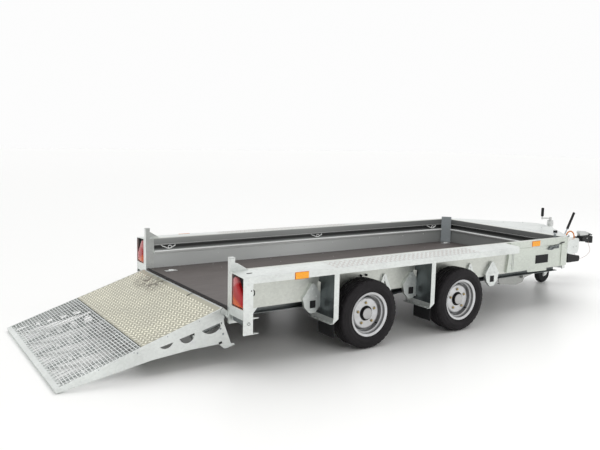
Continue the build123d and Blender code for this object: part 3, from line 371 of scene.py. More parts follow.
def make_tread_plate(name, colour, roughness, metallic):
    tree, shader = clouded(
        name, colour, roughness, (5, 6), ((0.3, 0.9), (0.7, 1.1)), (-0.08, 0.1),
        (90, 4, 0.12, 0.0004), metallic=metallic,
    )
    tint(shader, grime_patch(tree), GRIME)
    dust = stops(tree, noise(tree, 90, 4), [(0.3, (0.9, 0.9, 0.88)), (0.7, WHITE)])
    tint(shader, 1.0, dust, "MULTIPLY")


def make_rubber(name, colour, roughness, grain=180, strength=0.18):
    clouded(
        name, colour, roughness, (14, 5), ((0.3, 0.8), (0.75, 1.35)), (-0.06, 0.1),
        (grain, 4, strength, 0.0006), specular=0.2,
    )


def make_paint(name, colour, roughness, metallic, coat=0.0):
    clouded(
        name, colour, roughness, (22, 5), ((0.3, 0.93), (0.7, 1.05)), (-0.05, 0.07),
        (400, 3, 0.06, 0.0003), metallic=metallic, coat=coat,
    )


RIM_PAINTED_SHADE = [
    # (radius in mm, brightness) of the rim's bands, from the hub outwards: the darker bands are
    # painted shade in the folds and at the edge of the hub's hole
    (0, 0.95), (54, 0.40), (57, 0.98), (108, 1.0), (119, 0.62), (124, 0.22), (131, 0.20),
    (134, 0.92), (138, 0.55), (141, 0.95), (149, 0.32), (154, 0.98), (170, 1.0),
]
RIM_SPAN = 0.2


def make_rim(place, side):
    """Silver wheel paint, with painted shade in the folds between the pressed rings and at the edge
    of the hub's hole.
    """
    colour = (0.72, 0.73, 0.75)
    tree, shader = new_material(f"rim_{place}_{side}", colour, 0.34, metallic=0.5, coat=0.2)
    centre = BED @ Vector((AXLES[place], 0, WHEEL_Z))
    square = square_reach(tree, [("X", centre.x, RIM_SPAN), ("Z", centre.z, RIM_SPAN)])
    # Painted shade: darker rings in the folds and at the edge of the hub's hole.
    rows = [(line * MM / RIM_SPAN, shade(colour, light)) for line, light in RIM_PAINTED_SHADE]
    rings = stops(tree, maths(tree, "SQRT", square), rows)
    cloud = noise(tree, 18, 5)
    dirt = stops(tree, cloud, [(0.35, (0.86, 0.85, 0.83)), (0.65, WHITE)])
    feed(shader, Base_Color=blend_colours(tree, 1.0, rings, dirt, "MULTIPLY"))
    feed(shader, Roughness=spread(tree, cloud, 0.28, 0.44))
    bump(shader, noise(tree, 300, 3), strength=0.08, distance=0.0003)


LENS_LOW = 430
LENS_INNER = 852
# (slope, height in metres at the inner side, sharpness) of the edges between the colours
CLEAR_EDGE = (0.7, 0.112, 50.0)
AMBER_EDGE = (0.45, 0.088, 40.0)


def make_lens():
    """One moulding in three colours: clear above, red down the outer side, amber at the foot."""
    red, clear, amber = (0.60, 0.006, 0.012), (0.74, 0.20, 0.21), (0.95, 0.14, 0.008)
    tree, shader = new_material("lamp_lens", red, 0.16, coat=0.25, specular=0.3)
    up = maths(tree, "SUBTRACT", axis_value(tree, "Z"), LENS_LOW * MM)
    reach = maths(tree, "ABSOLUTE", axis_value(tree, "Y"))
    out = maths(tree, "SUBTRACT", reach, LENS_INNER * MM)
    slope_out, edge, sharp = CLEAR_EDGE
    high = maths(tree, "SUBTRACT", up, product(tree, out, slope_out))
    upper = product(tree, maths(tree, "SUBTRACT", high, edge), sharp)
    slope_out, edge, sharp = AMBER_EDGE
    low = maths(tree, "ADD", up, product(tree, out, slope_out))
    lower = product(tree, maths(tree, "SUBTRACT", edge, low), sharp)
    whole = blend_colours(tree, spread(tree, upper, 0, 1), red, clear)
    whole = blend_colours(tree, spread(tree, lower, 0, 1), whole, amber)
    facets = cells(tree, 260)
    tone = two_tones(tree, facets, WHITE, (0, 0.72), (1, 1))
    feed(shader, Base_Color=blend_colours(tree, 1.0, whole, tone, "MULTIPLY"))
    bump(shader, facets, strength=0.25, distance=0.0006)


def make_reflector():
    colour = (0.95, 0.38, 0.02)
    tree, shader = new_material("reflector", colour, 0.2, coat=0.2, specular=0.3)
    prism = cells(tree, 380)
    base = stops(tree, prism, [(0, shade(colour, 0.85)), (1, (1.0, 0.46, 0.05))])
    # The faint emission is a painted glow: a reflector gives no light of its own.
    feed(shader, Base_Color=base, Emission_Color=(0.9, 0.3, 0.01), Emission_Strength=0.2)
    bump(shader, prism, strength=0.2, distance=0.0005)


def make_materials():
    zinc("zinc_outer", OUTER_ZINC, 0.40)
    zinc("zinc_bright", (0.84, 0.86, 0.85), 0.30)
    # A whiter, barely metallic copy of the zinc: a painted highlight on the rolled edges, the wall
    # screws and the lashing rings.
    zinc("zinc_edge", (0.94, 0.96, 0.95), 0.45, metallic=0.1, spangle=0.03)
    zinc("zinc_panel", (0.68, 0.72, 0.66), 0.40)
    zinc("zinc_mesh", (0.92, 0.94, 0.93), 0.42, metallic=0.35)
    zinc("zinc_dull", (0.42, 0.46, 0.48), 0.42)
    # The under zinc darkens the axles and crossmembers, and the dark zinc the chassis rails:
    # painted shade under the bed.
    zinc("zinc_under", (0.16, 0.17, 0.17), 0.5, metallic=0.6)
    zinc("zinc_dark", (0.22, 0.24, 0.24), 0.42)
    make_zinc_wall("zinc_side_wall", "Y", (HALF_BED + WALL_DEPTH) * MM)
    make_zinc_wall("zinc_headboard", "X", (BED @ Vector((BED_LENGTH + WALL_DEPTH, 0, 0))).x)
    make_strut_zinc()
    make_ramp_zinc()
    make_drawbar_zinc()
    make_ply()
    # The plate's finish in two copies: darker between the studs for painted shade, lighter on the
    # studs for painted highlights.
    make_tread_plate("tread_plate", (0.43, 0.418, 0.335), 0.42, 0.45)
    make_tread_plate("tread_studs", (0.95, 0.93, 0.79), 0.28, 0.75)
    make_rubber("tyre_rubber", (0.017, 0.0155, 0.017), 0.62, 150, 0.22)
    make_rubber("rubber", (0.016, 0.016, 0.017), 0.6)
    make_rubber("black_plastic", (0.018, 0.018, 0.019), 0.42, 300, 0.1)
    make_rubber("black_casting", (0.030, 0.030, 0.031), 0.5, 120, 0.3)
    make_rubber("spring_steel", (0.028, 0.030, 0.033), 0.48, 90, 0.2)
    make_rubber("orange_plastic", (0.72, 0.23, 0.02), 0.4, 300, 0.08)
    make_rubber("cable_sheath", (0.46, 0.31, 0.29), 0.45, 500, 0.08)
    make_rubber("blank_plate", (0.012, 0.012, 0.013), 0.5, 300, 0.05)
    make_paint("step_studs", (0.60, 0.565, 0.54), 0.35, 0.5)
    make_paint("brass", (0.58, 0.43, 0.20), 0.34, 0.85)
    make_paint("hub_cap", (0.52, 0.52, 0.52), 0.38, 0.6, coat=0.2)
    make_paint("plated_steel", (0.60, 0.61, 0.60), 0.28, 0.85)
    make_lens()
    make_reflector()
    for place in AXLES:
        for side in SIDES:
            make_rim(place, side)


NODE_MATERIALS = {
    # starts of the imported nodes' names; the first row that fits is used
    "film_faced_ply": ("bed_floor",),
    "zinc_side_wall": ("side_wall",),
    "zinc_headboard": ("headboard",),
    "zinc_panel": ("front_panel",),
    "zinc_dull": ("corner_posts", "handbrake_lever"),
    "zinc_strut": ("mudguard_struts",),
    "reflector": ("side_reflectors",),
    "lamp_lens": ("lamp_lenses",),
    "rubber": ("mud_flaps", "jockey_wheel"),
    "tyre_rubber": ("tyre_",),
    "spring_steel": ("leaf_springs",),
    # Painted shade: the axles, crossmembers and chassis rails are darkened by colour.
    "zinc_under": ("axle_", "crossmembers"),
    "zinc_dark": ("chassis_rails",),
    "zinc_ramp": ("ramp_frame",),
    "tread_plate": ("ramp_tread_plate",),
    "zinc_mesh": ("ramp_mesh",),
    "zinc_drawbar": ("drawbar",),
    "plated_steel": ("coupling_handle", "jockey_crank"),
    "black_casting": ("coupling",),
    "orange_plastic": ("cable_bow",),
    "black_plastic": ("lamp_housings", "handbrake_grip", "wheel_chock", "jockey_grip"),
    "zinc_bright": ("jockey_leg",),
}


def material_of(node):
    if node in MATERIALS:
        return MATERIALS[node]
    for name, starts in NODE_MATERIALS.items():
        if node.startswith(starts):
            return MATERIALS[name]
    return MATERIALS["zinc_outer"]


def dress_nodes():
    for name, node in frame["nodes"].items():
        chosen = material_of(name)
        if node.material_slots:
            for slot in node.material_slots:
                slot.material = chosen
        else:
            node.data.materials.append(chosen)


# Mesh tools, in millimetres


def add_object(name, data):
    thing = bpy.data.objects.new(name, data)
    bpy.context.scene.collection.objects.link(thing)
    return thing


def place_on(pair, axis, level):
    """A point from the two coordinates across an axis and its level along it."""
    first, second = pair
    if axis == "X":
        return (level, first, second)
    if axis == "Y":
        return (first, level, second)
    return (first, second, level)


def turns(count):
    return [2 * math.pi * index / count for index in range(count)]


def polar(radius, angle):
    return radius * math.cos(angle), radius * math.sin(angle)


class Shape:
    """Collects closed parts that become one piece."""

    def __init__(self):
        self.points = []
        self.faces = []

    def add(self, points, faces):
        start = len(self.points)
        self.points += [tuple(point) for point in points]
        self.faces += [[start + index for index in face] for face in faces]

    def loft(self, rings, closed=False):
        """Skins rings of equal length, with a cap at each end unless it closes on itself."""
        count = len(rings[0])
        faces = []
        last = len(rings) if closed else len(rings) - 1
        for ring in range(last):
            here, there = ring * count, (ring + 1) % len(rings) * count
            for index in range(count):
                after = (index + 1) % count
                faces.append([here + index, here + after, there + after, there + index])
        if not closed:
            faces.append(list(range(count))[::-1])
            faces.append([(len(rings) - 1) * count + index for index in range(count)])
        self.add([point for ring in rings for point in ring], faces)

    def prism(self, outline, axis, low, high):
        """An outline across one axis, drawn out from low to high."""
        self.loft([[place_on(pair, axis, level) for pair in outline] for level in (low, high)])

    def block(self, x0, x1, y0, y1, z0, z1):
        y0, y1 = sorted((y0, y1))
        self.prism([(x0, y0), (x1, y0), (x1, y1), (x0, y1)], "Z", z0, z1)

    def turned(self, profile, centre, axis, sides, closed=False):
        """A profile of (radius, distance) turned round an axis through a centre."""
        rings = []
        for radius, distance in profile:
            ring = []
            for angle in turns(sides):
                point = place_on(polar(radius, angle), axis, distance)
                ring.append([a + b for a, b in zip(centre, point)])
            rings.append(ring)
        self.loft(rings, closed)

    def tube(self, path, radius, sides=8, closed=False):
        """A round bar along a path of points."""
        points = [Vector(point) for point in path]
        rings = []
        normal = None
        for index, point in enumerate(points):
            if closed:
                run = points[(index + 1) % len(points)] - points[index - 1]
            else:
                run = points[min(index + 1, len(points) - 1)] - points[max(index - 1, 0)]
            run.normalize()
            if normal is None:
                normal = run.orthogonal().normalized()
            normal = (normal - run * normal.dot(run)).normalized()
            across = run.cross(normal)
            ring = []
            for angle in turns(sides):
                ring.append(point + radius * (math.cos(angle) * normal + math.sin(angle) * across))
            rings.append(ring)
        self.loft(rings, closed)

    def coil(self, start, end, radius, wire, pitch, per_turn=12):
        """A helical spring round the line from start to end."""
        start, end = Vector(start), Vector(end)
        run = end - start
        first = run.orthogonal().normalized()
        second = run.normalized().cross(first)
        steps = int(run.length / pitch * per_turn)
        path = []
        for step in range(steps + 1):
            angle = 2 * math.pi * step / per_turn
            middle = start + run * (step / steps)
            path.append(middle + radius * (math.cos(angle) * first + math.sin(angle) * second))
        self.tube(path, wire, 6)

    def ring(self, centre, axis, radius, wire, count=20, stretch=1.0):
        path = []
        for angle in turns(count):
            pair = (radius * math.cos(angle) * stretch, radius * math.sin(angle))
            path.append([a + b for a, b in zip(centre, place_on(pair, axis, 0))])
        self.tube(path, wire, 6, closed=True)

    def bolt(self, centre, axis, facing, size=8.0, height=6.0):
        """A hexagon head with a washer under it, standing out along an axis."""
        self.turned([(size * 0.86, 0), (size * 0.86, facing * 1.2)], centre, axis, 16)
        top = facing * height
        profile = [(size * 0.58, facing), (size * 0.58, top - facing), (size * 0.48, top)]
        self.turned(profile, centre, axis, 6)

    def rivet(self, centre, axis, facing, radius=4.0):
        profile = [(1.0, 0), (0.82, 0.35), (0.4, 0.55)]
        profile = [(radius * share, facing * radius * out) for share, out in profile]
        self.turned(profile, centre, axis, 10)

    def piece(self, name, material, body="root", place=BED, crease=35, bevel=0.0):
        mesh = bpy.data.meshes.new(name)
        mesh.from_pydata([place @ Vector(point) for point in self.points], [], self.faces)
        work = bmesh.new()
        work.from_mesh(mesh)
        bmesh.ops.recalc_face_normals(work, faces=work.faces)
        if bevel:
            edges = [edge for edge in work.edges if edge.calc_face_angle(0) > math.radians(crease)]
            bmesh.ops.bevel(work, geom=edges, offset=bevel * MM, segments=2, affect="EDGES")
        work.to_mesh(mesh)
        work.free()
        mesh.polygons.foreach_set("use_smooth", [True] * len(mesh.polygons))
        mesh.set_sharp_from_angle(angle=math.radians(crease))
        mesh.materials.append(MATERIALS[material])
        piece = add_object(name, mesh)
        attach(piece, body)
        return piece


# Wheels

TYRE_SIDE = [
    # (radius, distance out) from the bead to the tread's edge
    (157, 61), (163, 67), (168, 71), (171, 75.5), (175, 77), (177, 80), (181, 81.5),
    (183, 80.5), (190, 84.5), (199, 89), (205, 91.2), (207, 92.4), (211, 92.4), (213, 91),
    (222, 90.2), (230, 88), (232, 88.6), (236, 87.2), (238, 85.6), (244, 83), (249, 80.5),
]
SHOULDER = [(253, 79), (257.5, 74.5), (260.5, 68), (261.5, 62)]
CROWN = 263.4
CROWN_DROP = 1.4
TREAD_EDGE = 62
GROOVES = (48, 17)
GROOVE_HALF = 4.5
GROOVE_FLOOR_HALF = 3.0
GROOVE_DEPTH = 8
TYRE_STEPS = 144
LUG_STEPS = 4
LUG_CUT = 4.5
ZIGZAG = 2.0


def tyre_profile():
    """(radius, distance, kind) from the outer bead over the tread to the inner bead."""
    half = [(radius, out, "side") for radius, out in TYRE_SIDE]
    half += [(radius, out, "lug") for radius, out in SHOULDER]
    for middle in GROOVES:
        top = CROWN - (middle / TREAD_EDGE) ** 2 * CROWN_DROP
        low = top - GROOVE_DEPTH
        for radius, reach in (
            (top, GROOVE_HALF),
            (low, GROOVE_FLOOR_HALF),
            (low, -GROOVE_FLOOR_HALF),
            (top, -GROOVE_HALF),
        ):
            half.append((radius, middle + reach, "edge"))
    return half + [(radius, -out, kind) for radius, out, kind in half[::-1]]


def add_tyre(place, side):
    profile = tyre_profile()
    shape = Shape()
    rings = []
    for step, angle in enumerate(turns(TYRE_STEPS)):
        cut = step % LUG_STEPS == 0
        swing = ZIGZAG if step % (2 * LUG_STEPS) < LUG_STEPS else -ZIGZAG
        ring = []
        for radius, out, kind in profile:
            if kind == "lug" and cut:
                radius -= LUG_CUT
            if kind == "edge":
                out += swing
            ring.append(place_on(polar(radius, angle), "Y", out))
        rings.append(ring)
    shape.loft(rings, closed=True)
    name = f"tyre_{place}_{side}"
    where = wheel_place(AXLES[place], SIDES[side])
    body = f"wheel_{place}_{side}"
    piece = shape.piece(f"{name}_dressed", "tyre_rubber", body, where, crease=28)
    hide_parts(name)


NUT_CIRCLE = 82
NUT_TURN = 94
NUT_SEAT = [(13.5, -1), (13.5, 0.8), (12.2, 1.4)]
NUT = [(9.6, 0), (9.6, 9), (8.0, 12), (4.6, 15.5)]
DISC_OUT = 28
BORE_RADIUS = 58
CAP_RADIUS = 43
CAP_OUT = 50
CAP = [
    # (radius beyond the cap's, distance beyond its face); its foot stands on the disc
    (0.8, DISC_OUT + 1 - CAP_OUT), (0.8, -6), (-2, -1), (-7, 1), (-12, 0.6), (-16, 1.6),
    (4 - CAP_RADIUS, 2.4),
]
VALVE_TURN = -42
VALVE = [(129, 24), (127, 34), (126, 50)]


def add_wheel_trim(place, side):
    body = f"wheel_{place}_{side}"
    where = wheel_place(AXLES[place], SIDES[side])
    nuts, seats, bore_painted_shade, valve, cap = (Shape() for _ in range(5))
    for index in range(5):
        angle = math.radians(NUT_TURN + 72 * index)
        centre = place_on(polar(NUT_CIRCLE, angle), "Y", 0)
        seats.turned([(radius, DISC_OUT + out) for radius, out in NUT_SEAT], centre, "Y", 20)
        nuts.turned([(radius, DISC_OUT + out) for radius, out in NUT], centre, "Y", 6)
    nuts.piece(f"{body}_nuts", "brass", body, where)
    seats.piece(f"{body}_nut_seats", "zinc_dull", body, where)
    # The lining in the hub's hole is near-black: painted shade, on top of the real shading in the
    # recess.
    profile = [
        (BORE_RADIUS, DISC_OUT - 2),
        (BORE_RADIUS, DISC_OUT + 0.8),
        (CAP_RADIUS + 2, DISC_OUT + 0.8),
        (CAP_RADIUS + 2, CAP_OUT - 4),
        (CAP_RADIUS, CAP_OUT - 4),
        (CAP_RADIUS, DISC_OUT - 2),
    ]
    bore_painted_shade.turned(profile, (0, 0, 0), "Y", 40, closed=True)
    bore_painted_shade.piece(f"{body}_bore", "blank_plate", body, where)
    angle = math.radians(VALVE_TURN)
    path = [place_on(polar(reach, angle), "Y", out) for reach, out in VALVE]
    valve.tube(path, 4.2, 10)
    valve.piece(f"{body}_valve", "rubber", body, where)
    profile = [(CAP_RADIUS + beyond, CAP_OUT + out) for beyond, out in CAP]
    cap.turned(profile, (0, 0, 0), "Y", 40)
    cap.piece(f"{body}_cap", "hub_cap", body, where)


# Ramp

STUD_PITCH = 46
STUD_LONG = 20
STUD_WIDE = 6.8
STUD_HIGH = 2.2
STUD_LEAN = 62
STUD_FOOT = [(-1, 0), (-0.55, 0.75), (0, 1), (0.55, 0.75), (1, 0), (0.55, -0.75), (0, -1),
             (-0.55, -0.75)]
STUD_FACES = [[0, 1, 8], [1, 2, 9, 8], [2, 3, 9], [3, 4, 9], [4, 5, 9], [5, 6, 9],
              [6, 7, 8, 9], [7, 0, 8], [7, 6, 5, 4, 3, 2, 1, 0]]


def add_studs(shape, x_range, y_range, level):
    """The raised almond bars of a chequered plate, in rows that lean left and right."""
    rows = int((x_range[1] - x_range[0]) / STUD_PITCH * 2) + 1
    columns = int((y_range[1] - y_range[0]) / STUD_PITCH) + 1
    for row in range(rows):
        for column in range(columns):
            x = x_range[0] + row * STUD_PITCH / 2
            y = y_range[0] + column * STUD_PITCH + (STUD_PITCH / 2 if row % 2 else 0)
            if y > y_range[1]:
                continue
            turn = math.radians(STUD_LEAN if row % 2 else -STUD_LEAN)
            along = Vector((math.cos(turn), math.sin(turn)))
            across = Vector((-along.y, along.x))
            foot, top = level(y) - 0.2, level(y) + STUD_HIGH
            points = []
            for a, b in STUD_FOOT:
                spot = Vector((x, y)) + along * a * STUD_LONG + across * b * STUD_WIDE
                points.append((spot.x, spot.y, foot))
            for a in (-0.5, 0.5):
                spot = Vector((x, y)) + along * a * STUD_LONG
                points.append((spot.x, spot.y, top))
            shape.add(points, STUD_FACES)


def add_tread_studs():
    shape = Shape()
    edge = RAMP_HALF - 24
    add_studs(shape, (-RAMP_TREAD + 22, -34), (-edge, edge), lambda y: RAMP_TOP)
    # The studs' lighter copy of the plate's finish paints their highlights.
    shape.piece("tread_studs", "tread_studs", "ramp", RAMP, crease=60)


STEP_X = (770, 2260)
STEP_Y = (832, 980)


def shelf_level(y):
    return SIDE_TOP - (abs(y) - WALL_OUTER) * 12 / 200


def add_shelf_studs():
    """The middle of each shelf, above the wheels, is chequered to be stepped on."""
    shape = Shape()
    low, high = STEP_Y
    add_studs(shape, STEP_X, (low, high), shelf_level)
    add_studs(shape, STEP_X, (-high, -low), shelf_level)
    shape.piece("shelf_studs", "step_studs", crease=60)


RAMP_COIL = (-246, -44)
RAMP_COIL_Z = -84
RAMP_BOLTS = [(-45, -155), (-52, -110), (-640, 2)]
RAMP_RIVETS = [(-180, 12), (-420, 12), (-660, 14), (-900, 14)]
TREAD_RIVETS = [
    # (x, how many, pitch) of the rows across the tread plate
    (-RAMP_TREAD + 8, 14, 108),
    (-46, 10, 150),
]


def add_ramp_details():
    coils, bolts, pads, seam = (Shape() for _ in range(4))
    for side in SIDES.values():
        start, end = ((x, side * (RAMP_HALF - 45), RAMP_COIL_Z) for x in RAMP_COIL)
        coils.coil(start, end, 20, 2.4, 6.5)
        outer = side * RAMP_HALF
        for x, z in RAMP_BOLTS:
            bolts.bolt((x, outer, z), "Y", side, 9, 6)
        for x, z in RAMP_RIVETS:
            bolts.rivet((x, outer + side * 4, z), "Y", side, 4)
        pads.block(-96, -72, outer, outer + side * 3, -214, -198)
    for x, count, pitch in TREAD_RIVETS:
        for index in range(count):
            y = (index - (count - 1) / 2) * pitch
            seam.rivet((x, y, RAMP_TOP), "Z", 1, 4.2)
    coils.piece("ramp_coil_turns", "zinc_dark", "ramp", RAMP)
    bolts.piece("ramp_bolts", "zinc_dull", "ramp", RAMP)
    pads.piece("ramp_latch_pads", "black_plastic", "ramp", RAMP, bevel=1.0)
    seam.piece("tread_plate_rivets", "zinc_bright", "ramp", RAMP)


# Rear posts and lamps


def oval(y, z, half_wide, half_tall, count=16):
    """An upright oval's outline in (y, z)."""
    points = []
    for angle in turns(count):
        points.append((y + half_wide * math.cos(angle), z + half_tall * math.sin(angle)))
    return points


def slot_outline(x, y, half_long, half_wide, count=8):
    """A slot with round ends, along X, in (x, y)."""
    points = []
    for end in (1, -1):
        for index in range(count + 1):
            angle = math.pi * (index / count - 0.5)
            reach = half_long - half_wide + half_wide * math.cos(angle)
            points.append((x + end * reach, y + end * half_wide * math.sin(angle)))
    return points


POST_X = 37
POST_BACK = 74.2
POST_Y = 985
POST_RIVETS = (432, 505, 590, 636)
LAMP_RIVETS = (448, 560)
POST_BOLTS = (600, 290)
POST_OVALS = (26, 9, 9)
POST_OVAL_Z = 530
ASSIST_X, ASSIST_Z = 40, 334
STAKE_TOP = SIDE_TOP + 94
HOOK = [
    # (x, height) along the rope hook behind the post
    (72, 556), (84, 558), (93, 548), (96, 532), (92, 520), (84, 516),
]
BEZEL_X = (19, 27)


def add_posts():
    bolts, coils, slots, caps, bezel = (Shape() for _ in range(5))
    for side in SIDES.values():
        inner, outer = side * HALF_BED, side * SHELF_OUTER
        for z in POST_RIVETS:
            bolts.rivet((POST_X, inner, z), "Y", -side, 4.5)
        for z in LAMP_RIVETS:
            bolts.rivet((0, side * (HALF_BED + 24), z), "X", -1, 4)
        start, end = ((ASSIST_X, side * y, ASSIST_Z) for y in (822, 988))
        coils.coil(start, end, 22, 2.6, 7)
        coils.ring((ASSIST_X, outer + side * 5.2, ASSIST_Z), "Y", 9, 2.2)
        # The ovals and the slot on the shelf are thin black sheets in place of holes: painted
        # shade.
        for half_tall in POST_OVALS:
            outline = oval(side * (POST_Y + 5), POST_OVAL_Z, 5, half_tall)
            slots.prism(outline, "X", POST_BACK, POST_BACK + 1.2)
        for z in POST_BOLTS:
            bolts.bolt((POST_X, outer, z), "Y", side, 8, 5)
        slots.prism(slot_outline(98, side * 905, 22, 5), "Z", 650, 655.2)
        stake = (side * (HALF_BED - 1.5), side * (HALF_BED + 37.5))
        caps.block(-1.5, 37.5, *stake, STAKE_TOP - 8, STAKE_TOP)
        slots.ring((36.5, side * (HALF_BED + 18), 700), "X", 7, 1.6, 16)
        low, high = sorted((side * 842, side * 999))
        for z0, z1 in ((431, 436), (633, 639)):
            bezel.block(*BEZEL_X, low, high, z0, z1)
        for y0, y1 in ((low, low + 6), (high - 6, high)):
            bezel.block(*BEZEL_X, y0, y1, 436, 633)
    bolts.piece("post_fasteners", "zinc_bright")
    coils.piece("assist_spring_turns", "zinc_dark")
    for side in SIDES.values():
        slots.tube([(x, side * POST_Y, z) for x, z in HOOK], 4, 8)
        slots.rivet((60, side * SHELF_OUTER, 556), "Y", side, 5)
    slots.piece("post_slots", "black_plastic")
    caps.piece("stake_caps", "zinc_outer", bevel=1.5)
    bezel.piece("lamp_bezels", "black_plastic", bevel=1.0)


LENS_OUTLINE = [
    # (distance out, height) from the lens's inner lower corner
    (12, 6), (80, 5), (148, 8), (152, 50), (150, 80), (120, 114), (93, 150), (70, 184),
    (54, 202), (30, 203), (14, 188), (11, 100),
]
LENS_CENTRE = (66, 90)
LENS_Y = 840
LENS_STEPS = [
    # (share of the way in to the centre, place along the bed)
    (0.0, 26.0), (0.0, 9.0), (0.03, 4.5), (0.10, 0.6), (0.26, -2.6), (0.55, -4.2),
]


def add_lamp_domes():
    """Each lamp's lens swells out of its flat base, well inside the black housing's window."""
    shape = Shape()
    for side in SIDES.values():
        rings = []
        for inset, out in LENS_STEPS:
            ring = []
            for across, up in LENS_OUTLINE:
                a = across + (LENS_CENTRE[0] - across) * inset
                u = up + (LENS_CENTRE[1] - up) * inset
                ring.append((out, side * (LENS_Y + a), LENS_LOW + u))
            rings.append(ring)
        shape.loft(rings)
    piece = shape.piece("lamp_domes", "lamp_lens", crease=50, bevel=0.6)
    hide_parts("lamp_lenses")


# Load bed

ROLLED_EDGES = [
    # (distance from the middle, height, radius) of the ledge's and the rail's edges
    (771.5, 541, 9.5),
    (779, 603.5, 3.2),
]


def add_ledge_edges():
    """The rolled edges of the ledge and the rail, which catch the light all round the bed; their
    whiter, barely metallic zinc paints the highlight.
    """
    shape = Shape()
    for across, height, radius in ROLLED_EDGES:
        for side in SIDES.values():
            shape.tube([(x, side * across, height) for x in (78, 3590)], radius, 12)
        front = BED_LENGTH - (HALF_BED - across)
        shape.tube([(front, y, height) for y in (-700, 700)], radius, 12)
    shape.piece("ledge_edges", "zinc_edge")


WALL_SCREWS = [
    # (x, height) of the screw heads on the inside of each side
    (700, 486), (1146, 510), (1192, 510), (1403, 482), (1674, 483), (2020, 492), (2372, 497),
    (2653, 498), (2990, 500), (3300, 503),
]
FLOOR_SCREWS = (160, 460, 900, 1380, 1850, 2301, 2863, 3250)
RING_PLACES = (213, 1821, 3430)
RING_HALF = 60
RING_DIP = 26
RING_Z = 588
LASHING_PLATES = [(159, 600), (3540, 660), (159, -600), (3540, -660)]
BOARD_SCREWS = (620, 1240, 1860, 2480, 3100)
EDGE_STRIPS = [(5.5, 12), (15.5, 24)]


def add_bed_details():
    screws, heads, rings, plates, strips = (Shape() for _ in range(5))
    for side in SIDES.values():
        inner = side * HALF_BED
        for x, z in WALL_SCREWS:
            heads.rivet((x, inner, z), "Y", -side, 6.5)
        for x in FLOOR_SCREWS:
            screws.rivet((x, inner, FLOOR_TOP + 12), "Y", -side)
        for x in RING_PLACES:
            path = [(x - RING_HALF - 6, inner + side * 15, RING_Z + 4)]
            for index in range(17):
                angle = math.pi * index / 16
                dip = -RING_DIP * math.sin(angle) + 9 * math.sin(2 * angle) ** 2
                y = inner + side * (4 - 9 * math.sin(angle))
                path.append((x - RING_HALF * math.cos(angle), y, RING_Z + dip))
            path.append((x + RING_HALF + 6, inner + side * 15, RING_Z + 4))
            rings.tube(path, 4.6, 8)
            rings.ring((x + 8, inner - side * 3, 576), "Y", 13, 4, 16, stretch=1.2)
    for x, y in LASHING_PLATES:
        plates.block(x - 54, x + 54, y - 24, y + 24, FLOOR_TOP - 1, FLOOR_TOP + 2.2)
        rings.ring((x, y, FLOOR_TOP + 5), "Z", 17, 3.4, 24, stretch=1.3)
        for end in (-42, 42):
            plates.rivet((x + end, y, FLOOR_TOP + 2), "Z", 1)
    profile = [(5, FLOOR_TOP - 1), (5, FLOOR_TOP + 0.5), (3.5, FLOOR_TOP + 0.8)]
    for x in BOARD_SCREWS:
        for index in range(9):
            screws.turned(profile, (x, (index - 4) * 180, 0), "Z", 10)
    for x0, x1 in EDGE_STRIPS:
        strips.block(x0, x1, -776, 776, FLOOR_TOP - 1, FLOOR_TOP + 1.6)
    screws.piece("bed_screws", "plated_steel")
    heads.piece("wall_screws", "zinc_edge")
    rings.piece("lashing_rings", "zinc_edge")
    plates.piece("lashing_plates", "zinc_bright", bevel=0.8)
    strips.piece("floor_edge_strips", "rubber", bevel=0.4)


# Shelves, struts and running gear

FOOT_BOLTS = [
    # (distance from the middle, size, height) on top of each strut's foot
    (850, 9, 6), (905, 9, 6), (960, 9, 6), (760, 7, 5), (800, 7, 5),
]
HANGER_Y = 830
HANGER_BOLTS = [(-34, 52), (34, 52), (0, 112)]
BRACE_AHEAD = 290
BRACE_Y = 822
CLIPS = (1137, 1188)


def add_side_details():
    bolts, pads, clips = (Shape() for _ in range(3))
    for side in SIDES.values():
        outer = side * WALL_OUTER
        for x in STRUT_X:
            for y, size, height in FOOT_BOLTS:
                bolts.bolt((x - 37, side * y, STRUT_LOW + 4), "Z", 1, size, height)
            for z in (330, 470):
                bolts.rivet((x + 4, side * 1002, z), "Y", side, 3.6)
        for x in HANGERS:
            y0, y1 = side * (HANGER_Y - 0.5), side * (HANGER_Y + 2.5)
            pads.block(x - 25, x + 25, y0, y1, BUSH_Z - 32, BUSH_Z + 24)
            for dx, dz in HANGER_BOLTS:
                bolts.bolt((x + dx, side * HANGER_Y, BUSH_Z + dz), "Y", side, 8, 5)
        for axle in AXLES.values():
            x = axle + BRACE_AHEAD
            for end, z in ((0, 480), (-52, 370), (52, 370)):
                bolts.bolt((x + end, side * BRACE_Y, z), "Y", side, 8, 5)
            add_u_bolts(bolts, axle, side)
        for x in CLIPS:
            clips.turned([(9, 0), (9, side * 12), (6, side * 15)], (x, outer, 520), "Y", 16)
        run = [(1137, 10, 520), (1130, 8, 470), (1125, 4, 410)]
        clips.tube([(x, outer + side * y, z) for x, y, z in run], 4, 8)
    bolts.piece("side_bolts", "zinc_bright")
    pads.piece("hanger_pads", "rubber", bevel=1.0)
    clips.piece("cable_clips", "black_plastic")


SPRING_Y = 775
U_BOLT_HALF = 30
U_BOLT_Z = 312
U_BOLT_LOW = 228


